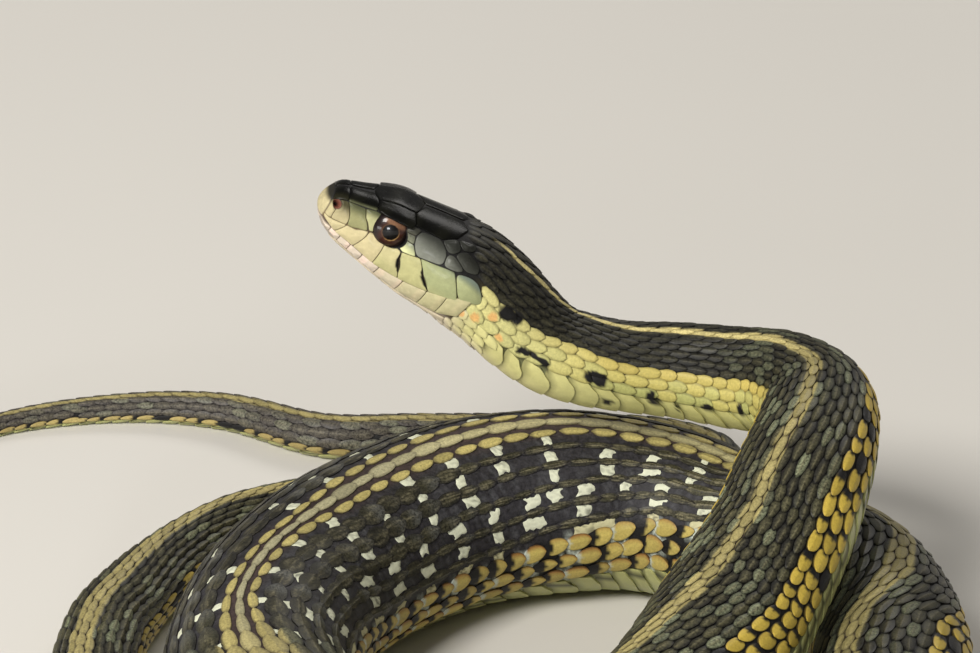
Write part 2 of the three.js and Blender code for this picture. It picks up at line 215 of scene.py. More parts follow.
def height_on_head(s, degrees):
    """The height over the head's own axis of a point of the skin."""
    top, bottom, _, rounding = section(s, HEAD_GIRTH)
    c = np.cos(np.radians(degrees))
    return np.where(c >= 0, top * np.abs(c) ** rounding, bottom * c)


def angle_at_height(s, height):
    """The angle on the left side at which the head has a height."""
    top, bottom, _, rounding = section(s, HEAD_GIRTH)
    upper = np.clip(height / top, 0, 1) ** (1 / rounding)
    lower = np.clip(height / bottom, -1, 0)
    return np.degrees(np.arccos(np.where(height >= 0, upper, lower)))


# The plan of the scales. Each row has an angle from the middle of the back, on the slim neck and
# on the full body; FULLNESS says how far a place has changed from the first to the second, TWIST
# how far the whole pattern is turned to the left, CROWDING how close the middle rows have moved
NECK_ROWS = [0, 8.7, 17.4, 26.0, 34.7, 43.3, 51.8, 61.5, 75.5, 89.5, 103.5]
BODY_ROWS = [0, 13.05, 26.1, 39.15, 52.2, 65.25, 78.3, 91.35, 104.4, 117.4, 131.0]
NECK_EDGE, BODY_EDGE = 97.5, 123.5
STRIPE_ROW, SIDE_ROW, LAST_ROW = 1.5, 6.5, 9  # stripe within, gold or pale side beyond
FULLNESS = [
    (0, 0.0), (66, 0.0), (80, -0.2), (100, -0.2), (112, 0.0), (150, 1.0), (205, 1.0),
    (213, 0.85), (220, 0.6), (228, 0.4), (240, 0.2), (275, 0.2), (330, 0.6), (400, 0.85),
    (600, 0.9),
]
TWIST = [
    (0, 0), (17, 2), (20, 4), (24, -4), (28, -18), (31, -18), (34, -11), (38, -6), (46, -4),
    (57, 0), (62, -5), (67, -8), (72, -7), (77, -3), (85, -7), (90, -5), (95, 7), (100, 18),
    (108, 30), (125, 20), (150, 6), (164, 5), (169, 9), (178, 17), (183, 18), (190, 14),
    (197, 8), (204, 3), (213, -3), (222, -5), (232, -10), (241, -25), (250, -34), (258, -32),
    (262, -24), (266, -8), (272, 0), (395, -4), (403, -8), (409, -4), (416, 6), (420, 3),
    (425, -5), (431, -10), (436, -8), (445, 0), (600, 0),
]
CROWDING = [(150, 0), (163, 6.5), (178, 6.5), (184, 4), (205, 1), (240, 0)]
# Half width of the stripe of the back, in rows
STRIPE_EDGE = [
    (17, 0.3), (21, 0.42), (30, 0.5), (45, 0.65), (56, 0.75), (70, 0.72), (85, 0.82),
    (96, 1.05), (108, 1.35), (150, 1.5), (240, 1.4), (250, 1.1), (290, 1.15), (400, 1.25),
]
# Length of body that a scute takes
PITCH = [
    (0, 2.0), (30, 2.2), (45, 2.45), (60, 2.35), (72, 2.05), (98, 2.035), (150, 3.05), (236, 3.1),
    (250, 2.7), (300, 2.5), (400, 2.4), (457, 2.15), (530, 2.0), (599, 1.7),
]
NECK_END = 70  # of the black blotches
BARE_FROM, BARE_TO = 158, 241  # the thick coil, where skin shows between the scales
VENT = 457.0
# The face: back is a distance behind the snout; height and side are distances from the head's
# axis; long and high are the half length and half height of the eye's opening
MOUTH = [
    (-2, -0.8), (0.9, -1.05), (2.6, -1.45), (4.9, -1.85), (7.3, -2.3),
    (10.2, -2.15), (13.3, -1.45), (16, -0.4), (17.7, 0.6),
]
MOUTH_CORNER = 17.7
EYE = dict(back=7.35, height=1.7, side=2.84, radius=2.0, depth=1.35, tilt=0.12, long=1.76, high=1.5)
NOSTRIL = dict(back=1.45, height=1.15, opening=0.48)


def along(table, s):
    """A measure listed at a few distances behind the snout."""
    return np.interp(s, *zip(*table))


def mouth_angle(s):
    return angle_at_height(s, along(MOUTH, s))


def eye_reach(s, height):
    """Distance from the middle of the eye, 1 at the edge of its opening."""
    return np.hypot((s - EYE["back"]) / EYE["long"], (height - EYE["height"]) / EYE["high"])


def turn_of(degrees):
    """An angle from the middle of the back, negative on the right side."""
    return (degrees + 180) % 360 - 180


def row_turn(row, s):
    """Angle of a row of the left side from the middle of the pattern."""
    t, rows = along(FULLNESS, s), np.arange(len(NECK_ROWS))
    angle = np.interp(row, rows, NECK_ROWS) * (1 - t) + np.interp(row, rows, BODY_ROWS) * t
    return angle - along(CROWDING, s) * np.interp(row, [0, 1, 7], [0, 1, 0])


def row_angle(row, s):
    """Angle of a row, which may lie between two rows, and is negative on the right side."""
    row = np.asarray(row, float)
    return along(TWIST, s) + np.sign(row) * row_turn(np.abs(row), s)


def row_at(s, degrees):
    """The row at an angle of the skin."""
    s, turn = np.broadcast_arrays(s, turn_of(degrees - along(TWIST, s)))
    row = 0
    for k in range(len(NECK_ROWS) - 1):
        low, high = row_turn(k, s), row_turn(k + 1, s)
        row = row + np.clip((np.abs(turn) - low) / (high - low), 0, 1)
    return np.sign(turn) * row


def belly_edge(s):
    t = along(FULLNESS, s)
    return NECK_EDGE * (1 - t) + BODY_EDGE * t


# Scutes are numbered from the snout
SCUTE_S = np.arange(0, LENGTH, 0.5)
SCUTE_N = np.append(0, np.cumsum(0.5 / along(PITCH, SCUTE_S[:-1])))


def place_of(number):
    return np.interp(number, SCUTE_N, SCUTE_S)


def number_at(s):
    return np.interp(s, SCUTE_S, SCUTE_N)


# The hollow side of the thick coil, where the gold scales are spread evenly
BEND_FROM, BEND_TO = 178, 236
BEND_ROW = 8.0
BEND_S = np.linspace(BEND_FROM, BEND_TO, 400)
BEND_LINE = surface(BEND_S, row_angle(BEND_ROW, BEND_S), 0.0)
BEND_WAY = np.append(0, np.cumsum(np.linalg.norm(np.diff(BEND_LINE, axis=0), axis=1)))
BEND_EVEN = BEND_FROM + BEND_WAY / BEND_WAY[-1] * (BEND_TO - BEND_FROM)


def along_bend(s, known, wanted):
    return np.where((s > BEND_FROM) & (s < BEND_TO), np.interp(s, known, wanted), s)


def evened(s):
    """Where a gold scale lies that would lie at s on a straight body."""
    return along_bend(s, BEND_EVEN, BEND_S)


def uneven(s):
    """The way back from evened."""
    return along_bend(s, BEND_S, BEND_EVEN)


def is_bare(s):
    """1 where the thick coil stretches the skin so that it shows between the scales."""
    return ramp(s, BARE_FROM - 8, BARE_FROM + 4) * fade(s, BARE_TO - 6, BARE_TO + 6)


def is_tight(s):
    """1 towards the left end of the thick coil, where the scales close up again."""
    return fade(s, 188, 204)


def is_snug(s):
    """1 towards the right end of the thick coil."""
    return ramp(s, 208, 230)


def chance(*keys):
    """A steady number from 0 to 1 for each set of whole numbers."""
    total = 0.37
    for i, key in enumerate(keys):
        total = total + np.asarray(key, float) * (12.9898 + 65.233 * i)
    value = np.sin(total) * 43758.5453
    return value - np.floor(value)


def rgb(r, g, b):
    c = np.array([r, g, b], float) / 255
    return np.where(c <= 0.04045, c / 12.92, ((c + 0.055) / 1.055) ** 2.4)


def mix(a, b, t):
    t = np.asarray(t, float)[..., None]
    return a * (1 - t) + b * t


def layered(colour, *layers):
    """A colour with others laid over it one after another, each with its share."""
    for over, share in layers:
        colour = mix(colour, over, share)
    return colour


BLACK = rgb(20, 19, 19)
CHARCOAL = rgb(27, 26, 22)
OLIVE = rgb(62, 60, 41)
# A painted highlight along the keels of the dark scales
KEEL_HIGHLIGHT = rgb(96, 91, 68)
PALE_SCALE = rgb(128, 134, 106)
# A painted grey sheen on the dark scales at the left end of the thick coil
GREY_SHEEN = rgb(92, 93, 90)
STREAK = rgb(150, 142, 114)
TAIL_GREY = rgb(92, 86, 82)
BARE_SKIN = rgb(40, 38, 41)
FOLD = rgb(70, 70, 72)
STRIPE = rgb(148, 137, 90)
STRIPE_OLIVE = rgb(172, 164, 122)
STRIPE_GREY = rgb(150, 147, 122)
STRIPE_YELLOW = rgb(184, 170, 104)
STRIPE_NECK = rgb(206, 192, 132)
# Painted shade at the rims and roots of the stripe's scales
STRIPE_RIM_SHADE = rgb(70, 62, 46)
STRIPE_SKIN = rgb(58, 47, 44)
GOLD = rgb(184, 166, 92)
DEEP_GOLD = rgb(182, 158, 66)
TAIL_GOLD = rgb(176, 160, 108)
RUST = rgb(138, 90, 46)
PALE_BLUE = rgb(184, 192, 180)
FLECK = rgb(204, 206, 182)
NECK_GOLD = rgb(182, 164, 88)
NECK_YELLOW = rgb(176, 170, 102)
NECK_GREEN = rgb(162, 162, 98)
NECK_SKIN = rgb(66, 60, 34)
PALE_YELLOW = rgb(212, 206, 142)
BELLY = rgb(166, 170, 118)
NECK_BELLY = rgb(186, 180, 116)
CHIN = rgb(206, 192, 174)
ROSE = rgb(236, 206, 190)
CREAM = rgb(190, 178, 138)
LIP_YELLOW = rgb(174, 170, 122)
LIP_GREEN = rgb(154, 158, 116)
LIP_BLUE = rgb(104, 116, 108)
LIP_GAP = rgb(58, 40, 30)
SUTURE = rgb(76, 64, 46)
SNOUT_TOP = rgb(36, 34, 26)
# The nostril's reddish rim, then painted shade deep in its pit
NOSTRIL_RIM, NOSTRIL_PIT_SHADE = rgb(112, 66, 52), rgb(40, 16, 12)
CROWN_DARK, CROWN_SHEEN, CROWN_EDGE = rgb(11, 11, 9), rgb(19, 19, 14), rgb(96, 98, 70)
ORANGE = rgb(222, 166, 100)

# Black blotches of the side of the neck, then its orange spots: distance, angle, half length and
# half height in millimetres
BLOTCHES = [
    (21, 65, 0.9, 0.8), (22.1, 60, 0.8, 0.7), (25.2, 80, 0.4, 0.45), (25.8, 76, 0.65, 0.35),
    (26.8, 72.5, 0.8, 0.3), (27.9, 72, 0.6, 0.35), (28.4, 77, 0.35, 0.6), (33, 71, 0.85, 0.75),
    (33.9, 74, 0.6, 0.85), (35.2, 108, 0.6, 0.45), (39.2, 87, 0.5, 0.8), (39.7, 94, 0.75, 0.6),
    (42.8, 100, 0.3, 0.7), (46.6, 92, 0.95, 0.65), (51.6, 91, 0.6, 0.9), (56.4, 96, 0.6, 0.5),
]
SPOTS = [(19.1, 95, 0.6, 0.5), (20.3, 79, 0.55, 0.5), (17.6, 104, 0.5, 0.4), (22.6, 90, 0.5, 0.4)]
SPOT_LAG = 1.9  # how much further back they sit on the right side
NECK_MM_PER_DEGREE = 0.09


def spotted(table, s, degrees):
    """1 inside the spots of a table."""
    turn = turn_of(degrees)
    s = np.where(turn < 0, s - SPOT_LAG, s)
    inside = 0
    for at, angle, long, high in table:
        reach = np.hypot((s - at) / long, (np.abs(turn) - angle) * NECK_MM_PER_DEGREE / high)
        inside = np.maximum(inside, fade(reach, 0.85, 1.1))
    return inside


def skin_colour(s, degrees):
    """Markings of the skin between the scales."""
    signed_row, bare = row_at(s, degrees), is_bare(s)
    row, body = np.abs(signed_row), ramp(s, 62, 76)
    fold = chance(np.floor(1.8 * s), np.floor(signed_row + 0.5))
    nearest = np.clip(np.round(row), 7, LAST_ROW)
    step = number_at(np.where(signed_row > SIDE_ROW, uneven(s), s)) - 0.5 * (nearest % 2)
    odd = (np.round(step) + nearest) % 2
    root = fade(np.abs(step - np.round(step)), 0.25, 0.4)
    turn, head = np.abs(turn_of(degrees)), fade(s, 16, 19)
    seam = mix(BLACK, SUTURE, ramp(turn, 84, 94) + fade(s, 6, 8) * ramp(turn, 60, 70))
    return layered(
        BLACK * 0.8,
        (BARE_SKIN, bare),
        (FOLD, 0.55 * bare * ramp(fold, 0.45, 1)),
        (STRIPE_SKIN, fade(row, 1.0, 1.4) * ramp(s, 19, 40)),
        (mix(BLACK, PALE_BLUE * 0.8, odd * root * bare), ramp(row, 6.6, 6.8) * body),
        (NECK_SKIN, ramp(row, 6.4, 6.7) * (1 - body)),
        (BELLY * 0.5, ramp(row, 9.4, 9.7) * ramp(s, 20, 30)),
        (BLACK, spotted(BLOTCHES, s, degrees) * (s < NECK_END)),
        (seam, ramp(turn, 40, 60) * head),
        (CHIN * 0.6, ramp(turn, 118, 132) * head),
    )


def make_mesh(name, material, points, quads, triangles, colours, uv):
    """A mesh object from arrays, its colours on the vertices and its map named OFBake.

    A fourth channel of the colours says how strongly a place is speckled. The map has one pair
    for each vertex, or one for each corner of each face.
    """
    mesh = bpy.data.meshes.new(name)
    points = (np.asarray(points).reshape(-1, 3) - MODEL_CENTRE) * MM
    quads = np.asarray(quads, np.int32).reshape(-1, 4)
    triangles = np.asarray(triangles, np.int32).reshape(-1, 3)
    loops = np.concatenate([quads.ravel(), triangles.ravel()])
    sizes = np.append(np.full(len(quads), 4), np.full(len(triangles), 3)).astype(np.int32)
    mesh.vertices.add(len(points))
    mesh.vertices.foreach_set("co", points.astype(np.float32).ravel())
    mesh.loops.add(len(loops))
    mesh.loops.foreach_set("vertex_index", loops)
    mesh.polygons.add(len(sizes))
    mesh.polygons.foreach_set("loop_start", np.append(0, np.cumsum(sizes)[:-1]).astype(np.int32))
    mesh.polygons.foreach_set("use_smooth", np.full(len(sizes), True))
    uv = np.asarray(uv).reshape(-1, 2)
    corners = uv if len(uv) == len(loops) else uv[loops]
    mesh.uv_layers.new(name="OFBake").data.foreach_set("uv", corners.astype(np.float32).ravel())
    rgba = np.zeros((len(points), 4), np.float32)
    channels = colours.shape[-1]
    rgba[:, :channels] = np.asarray(colours).reshape(-1, channels)
    markings = mesh.color_attributes.new("Markings", "FLOAT_COLOR", "POINT")
    markings.data.foreach_set("color", rgba.ravel())
    mesh.update(calc_edges=True)
    mesh.validate()
    mesh.materials.append(material)
    obj = bpy.data.objects.new(name, mesh)
    bpy.context.scene.collection.objects.link(obj)
    return obj


# The map of the skin: the head has a block of its own, the body runs in three bands
MAP_HEAD, MAP_BAND = 24, 192  # length of the body in the head's block and in a band
MAP_MARGIN, BAND_STEP, BAND_WIDTH, BAND_LENGTH = 0.005, 0.21, 0.2, 0.99
HEAD_BLOCK, HEAD_BLOCK_SIZE = (0.645, 0.7), (0.35, 0.29)


def map_place(s, turn, middle):
    """Places on the map from distances and turns of 0 to 1, in the block that middle lies in."""
    band = np.clip(np.floor((middle - MAP_HEAD) / MAP_BAND), 0, 2)
    share = (s - MAP_HEAD - band * MAP_BAND) / MAP_BAND
    body = (MAP_MARGIN + band * BAND_STEP + turn * BAND_WIDTH, MAP_MARGIN + share * BAND_LENGTH)
    (x, y), (width, length) = HEAD_BLOCK, HEAD_BLOCK_SIZE
    head = (x + turn * width, y + s / MAP_HEAD * length)
    head, body = (np.stack(np.broadcast_arrays(*block), -1) for block in (head, body))
    return np.where((middle < MAP_HEAD)[..., None], head, body)


def unwrap(s, degrees):
    s = np.asarray(s, float)
    return map_place(s, (np.asarray(degrees, float) + 180) % 360 / 360, s)


def corner_map(faces, s, a):
    """The map's place of each corner of each face, kept on one side of the map's seams."""
    fs, fa = s[faces], a[faces]
    fa = np.where(fa.max(1, keepdims=True) - fa > 180, fa + 360, fa)
    turn = (fa + 180) / 360
    turn = turn - np.floor(turn.mean(1, keepdims=True))
    return map_place(fs, turn, fs.mean(1, keepdims=True)).reshape(-1, 2)


PATCH_SIZE = 0.0036


def patch(s, degrees, u, v):
    """A scale's own small patch at its root's place on the map."""
    root = unwrap(s, degrees)
    x, y = root[..., 0] + u * PATCH_SIZE * 0.5, root[..., 1] + v * PATCH_SIZE
    return np.stack(np.broadcast_arrays(x, y), -1)


def fill(tree, target, inputs):
    """Sets a node's inputs to values, or links them to other nodes' outputs."""
    for key, value in inputs:
        if isinstance(value, bpy.types.NodeSocket):
            tree.links.new(value, target.inputs[key])
        else:
            target.inputs[key].default_value = value


def node(tree, kind, inputs=(), **settings):
    n = tree.nodes.new(kind)
    for key, value in settings.items():
        setattr(n, key, value)
    fill(tree, n, inputs)
    return n


def multiply_add(tree, *factors):
    return node(tree, "ShaderNodeMath", enumerate(factors), operation="MULTIPLY_ADD").outputs[0]


def scaled(tree, colour, factor):
    scale = node(tree, "ShaderNodeVectorMath", [(0, colour), ("Scale", factor)], operation="SCALE")
    return scale.outputs["Vector"]


def noise(tree, scale, detail, roughness=0.5):
    """Noise fixed to the object."""
    where = node(tree, "ShaderNodeTexCoord").outputs["Object"]
    inputs = [("Vector", where), ("Scale", scale), ("Detail", detail), ("Roughness", roughness)]
    return node(tree, "ShaderNodeTexNoise", inputs).outputs["Fac"]


def spread_out(tree, value, low, high):
    """The middle part of a noise's range, spread from low to high."""
    ends = zip(("From Min", "From Max", "To Min", "To Max"), (0.3, 0.7, low, high))
    return node(tree, "ShaderNodeMapRange", [("Value", value), *ends]).outputs["Result"]


def new_material(name):
    """A material with its node tree and its shader."""
    material = bpy.data.materials.new(name)
    material.use_nodes = True
    return material, material.node_tree, material.node_tree.nodes["Principled BSDF"]


def marked_material(name, roughness, spread, shine, coat, mottle, grain, grain_depth):
    """The markings painted on the vertices, broken up by fine noise, under a thin gloss."""
    material, tree, shader = new_material(name)
    markings = node(tree, "ShaderNodeVertexColor", layer_name="Markings").outputs
    mottling = noise(tree, mottle, 5, 0.65)
    strength = multiply_add(tree, markings["Alpha"], 0.8, 0.1)
    tone = multiply_add(tree, spread_out(tree, mottling, -1, 1), strength, 1.0)
    height = noise(tree, grain, 4)
    bump = [("Strength", 0.6), ("Distance", grain_depth), ("Height", height)]
    fill(tree, shader, [
        ("Base Color", scaled(tree, markings["Color"], tone)),
        ("Roughness", spread_out(tree, mottling, roughness - spread, roughness + spread)),
        ("Normal", node(tree, "ShaderNodeBump", bump).outputs["Normal"]),
        ("IOR", 1.45), ("Specular IOR Level", shine), ("Coat Weight", coat),
        ("Coat Roughness", 0.2),
    ])
    return material


# Roughness and its spread, shine, coat, scale of the mottling, scale and depth of the grain
HEAD_GLOSS = marked_material("head_shield", 0.25, 0.05, 0.11, 0.015, 1500, 5200, 0.00002)
SCALE_GLOSS = marked_material("keeled_scale", 0.5, 0.1, 0.3, 0.03, 4200, 5200, 0.00006)
BELLY_GLOSS = marked_material("belly_scute", 0.4, 0.08, 0.4, 0.1, 900, 3000, 0.00003)
SKIN_MATT = marked_material("skin", 0.6, 0.1, 0.35, 0.0, 2600, 6000, 0.00006)


# The sides of the head, where the eyes and nostrils are: angles, and distance behind the snout
SIDE_FROM, SIDE_TO, SIDE_END = 35, 130, 12


def on_side(s, degrees):
    turn = np.abs(turn_of(degrees))
    return (turn > SIDE_FROM) & (turn < SIDE_TO) & (s < SIDE_END)


def nostril_reach(s, height):
    return np.hypot(s - NOSTRIL["back"], height - NOSTRIL["height"])


def orbit_dip(s, degrees):
    """How far the skin sinks towards the rim of the eye."""
    reach = eye_reach(s, height_on_head(s, degrees))
    return np.where(on_side(s, degrees), 0.2 * fade(reach, 1.0, 1.5), 0)


def skin_lift(s, degrees):
    height = height_on_head(s, degrees)
    lift = -0.05 - 0.17 * ramp(s, 13, 20) - orbit_dip(s, degrees) + 0.09 * fade(s, 0.72, 0.9)
    socket = 1.1 * fade(eye_reach(s, height), 0.84, 0.98)
    nostril = 0.75 * fade(nostril_reach(s, height), 0.12, 0.44)
    lift = lift - np.where(on_side(s, degrees), socket + nostril, 0)
    mouth = np.exp(-(((height - along(MOUTH, s)) / 0.08) ** 2))
    return lift - 0.3 * mouth * fade(s, MOUTH_CORNER - 0.3, MOUTH_CORNER + 0.2)


def head_skin_colour(s, degrees):
    """The skin's markings with the snout's front shield, the nostrils' rims and the lips' gap, and
    painted shade in the orbits and the nostrils' pits.
    """
    height, side = height_on_head(s, degrees), on_side(s, degrees)
    mouth, nostril = np.abs(height - along(MOUTH, s)), nostril_reach(s, height)
    rostral = mix(CREAM * 0.9, SNOUT_TOP, ramp(height, 0.6, 1.2))
    front = mix(CHIN, rostral, ramp(height, -0.95, -0.75))
    return layered(
        skin_colour(s, degrees),
        # painted shade in the socket round the eye
        (BLACK * 0.5, side * fade(eye_reach(s, height), 1.03, 1.12)),
        (LIP_GAP, fade(mouth, 0.05, 0.16) * (s < MOUTH_CORNER)),
        (front, fade(s, 0.74, 0.88) * ramp(mouth, 0.05, 0.16)),
        (NOSTRIL_RIM, side * fade(nostril, 0.4, 0.5)),
        # painted shade in the nostril's pit
        (NOSTRIL_PIT_SHADE, side * fade(nostril, 0.12, 0.32)),
    )


def grid_faces(rows, cols, closed=False):
    """Quads between rows of points, each row a strip or a closed ring."""
    i, j = np.meshgrid(np.arange(rows - 1), np.arange(cols - (not closed)), indexing="ij")
    k = (j + 1) % cols
    quads = [i * cols + j, i * cols + k, (i + 1) * cols + k, (i + 1) * cols + j]
    return np.stack(quads, -1).reshape(-1, 4)


def repeated(faces, count, size):
    """The faces of a small plate, for a number of plates with so many points each."""
    return faces[None] + (np.arange(count) * size)[:, None, None]


def make_skin():
    """One closed skin from snout to tail tip, finer on the head."""
    head_s = np.concatenate([
        [0.004, 0.02, 0.05], np.arange(0.1, 12, 0.09), np.arange(12, 20, 0.13),
        np.arange(20, 25.1, 0.25),
    ])
    body_s = np.concatenate([
        np.arange(26, 150, 0.9), np.arange(150, 242, 0.55), np.arange(242, LENGTH - 1, 0.9),
        [LENGTH - 0.6, LENGTH - 0.2],
    ])
    around, body_around = 252, 63
    parts = []
    for places, cols, colour_of in (
        (head_s, around, head_skin_colour), (body_s, body_around, skin_colour),
    ):
        s, a = np.meshgrid(places, np.arange(cols) * 360 / cols, indexing="ij")
        wave = np.sin(s * 5.7 + 2.1 * np.sin(a * 0.31) + 0.7 * np.sin(a * 1.7))
        points = surface(s, a, skin_lift(s, a) + 0.05 * is_bare(s) * wave)
        parts.append([x.reshape(s.size, -1) for x in (s, a, points, colour_of(s, a))])
    ends = np.stack([surface(0.0, 0.0, 0.0), surface(LENGTH, 0.0, -0.1)])
    parts.append([[[0.0], [LENGTH]], [[0.0], [0.0]], ends, [CREAM, OLIVE]])
    s, a, points, colours = (np.vstack(group) for group in zip(*parts))
    s, a = s[:, 0], a[:, 0]

    heads, total = len(head_s) * around, len(s) - 2
    quads = np.vstack([
        grid_faces(len(head_s), around, True), grid_faces(len(body_s), body_around, True) + heads,
    ])
    ratio, last_ring = around // body_around, heads - around
    tris = []
    for j in range(body_around):
        near, far = heads + j, heads + (j + 1) % body_around
        h = [last_ring + (j * ratio + k) % around for k in range(ratio + 1)]
        for k in range(ratio):
            tris.append((h[k], h[k + 1], near if k < ratio // 2 else far))
        tris.append((h[ratio // 2], far, near))
    for j in range(around):
        tris.append((total, (j + 1) % around, j))
    for j in range(body_around):
        last = total - body_around
        tris.append((total + 1, last + j, last + (j + 1) % body_around))
    tris = np.array(tris)
    colours = np.column_stack([colours, 0.1 + 0.6 * is_bare(s)])
    uv = np.vstack([corner_map(faces, s, a) for faces in (quads, tris)])
    return make_mesh("skin", SKIN_MATT, points, quads, tris, colours, uv)


skin = make_skin()


def plate(rows, cols):
    """A grid of points whose sides and end turn down to a lower edge.

    Gives the point of the grid that each point repeats, 1 for the points of the lower edge, and
    the faces.
    """
    left = np.arange(rows) * cols
    rim = np.concatenate([left, left[-1] + np.arange(1, cols), left[-2::-1] + cols - 1])
    n, m = rows * cols, len(rim)
    picks = np.concatenate([np.arange(n), rim, rim])
    lower = np.repeat([0, 1], [n + m, m])
    return picks, lower, np.vstack([grid_faces(rows, cols), grid_faces(2, m) + n])


# One scale: its points from root to tip and from side to side
ALONG = np.array([0, 0.1, 0.22, 0.34, 0.46, 0.58, 0.7, 0.8, 0.89, 0.96, 1])
ACROSS = np.array([-1, -0.84, -0.6, -0.34, -0.13, 0, 0.13, 0.34, 0.6, 0.84, 1])
SCALE_PICKS, SCALE_UNDER, SCALE_FACES = plate(len(ALONG), len(ACROSS))
SCALE_V, SCALE_U = (x.ravel()[SCALE_PICKS] for x in np.meshgrid(ALONG, ACROSS, indexing="ij"))
SCALE_FOOT = -0.25  # depth of the lower edge


def half_width(v, roundness):
    """Half width of a scale along its length, from a lance's shape to an oval's."""
    waist = np.clip(1 - (np.clip(v - 0.42, 0, 1) / 0.58) ** 2, 0, 1) ** 0.75
    lance = (0.6 + 0.4 * ramp(v, 0, 0.4)) * waist
    oval = np.clip(1 - np.abs(2 * v - 1) ** 2.6, 0, 1) ** 0.55
    return np.maximum(lance * (1 - roundness) + oval * roundness, 0.06)


def make_scales(name, s, row, length, cover, roundness, rise, bulge, keel, colour_of):
    """Scales from their roots: cover is the half width in rows, rise the lift of the tip."""
    s, row, length, cover, roundness, rise, bulge, keel = (
        np.broadcast_to(x, s.shape)[:, None]
        for x in (s, row, length, cover, roundness, rise, bulge, keel)
    )
    v, u, under = SCALE_V[None], SCALE_U[None], SCALE_UNDER[None]
    w = half_width(v, roundness) * (1 - 0.04 * under)
    place = s + length * (v - 0.01 * under)
    row_here = row + cover * w * u
    degrees = row_angle(row_here, place)
    dome = bulge * (1 - np.abs(u) ** 2.2) * ramp(v, -0.2, 0.3) * (1 - 0.3 * ramp(v, 0.8, 1))
    ridge = np.exp(-((u / 0.17) ** 2)) * ramp(v, 0.05, 0.3) * (1 - 0.8 * ramp(v, 0.85, 1))
    lift = np.where(under > 0, SCALE_FOOT, -0.13 + rise * v + dome + keel * ridge)
    colours = colour_of(place, degrees, row_here, v, u)
    faces = repeated(SCALE_FACES, len(s), len(SCALE_V))
    uv = patch(s, row_angle(row, s), u, v)
    return make_mesh(name, SCALE_GLOSS, surface(place, degrees, lift), faces, [], colours, uv)


# How far forward the first scales reach, behind the shields of the head
HEAD_REAR = [
    (0, 14.1), (12, 14.6), (22, 14.1), (26, 15.5), (36, 15.65), (40, 15.1), (47, 16.5),
    (57, 16.7), (60, 16.8), (66, 17.5), (72, 18.0), (80, 18.0), (95, 17.3), (112, 16.9),
]
SCALE_OVERLAP = 1.22  # length of a scale for each step from one to the next


def lattice(first, last, rows):
    """Roots between two distances, every other row half a step back: s, row, length, number."""
    out = []
    low, high = number_at(np.array([first, last]))
    for j, row in rows:
        n = np.arange(math.floor(low), math.ceil(high) + 1) + 0.5 * (j % 2)
        n = n[(n >= low) & (n < high)]
        s, tip = place_of(n), place_of(n + SCALE_OVERLAP)
        if row > SIDE_ROW:
            s, tip = evened(s), evened(tip)
        s = np.maximum(s, along(HEAD_REAR, np.abs(row_angle(row, s))))
        keep = (tip - s > 0.8) & (tip < LENGTH - 0.3)
        columns = [s, 0 * s + row, tip - s, n]
        out.append(np.stack([c[keep] for c in columns], 1))
    return np.vstack(out).T


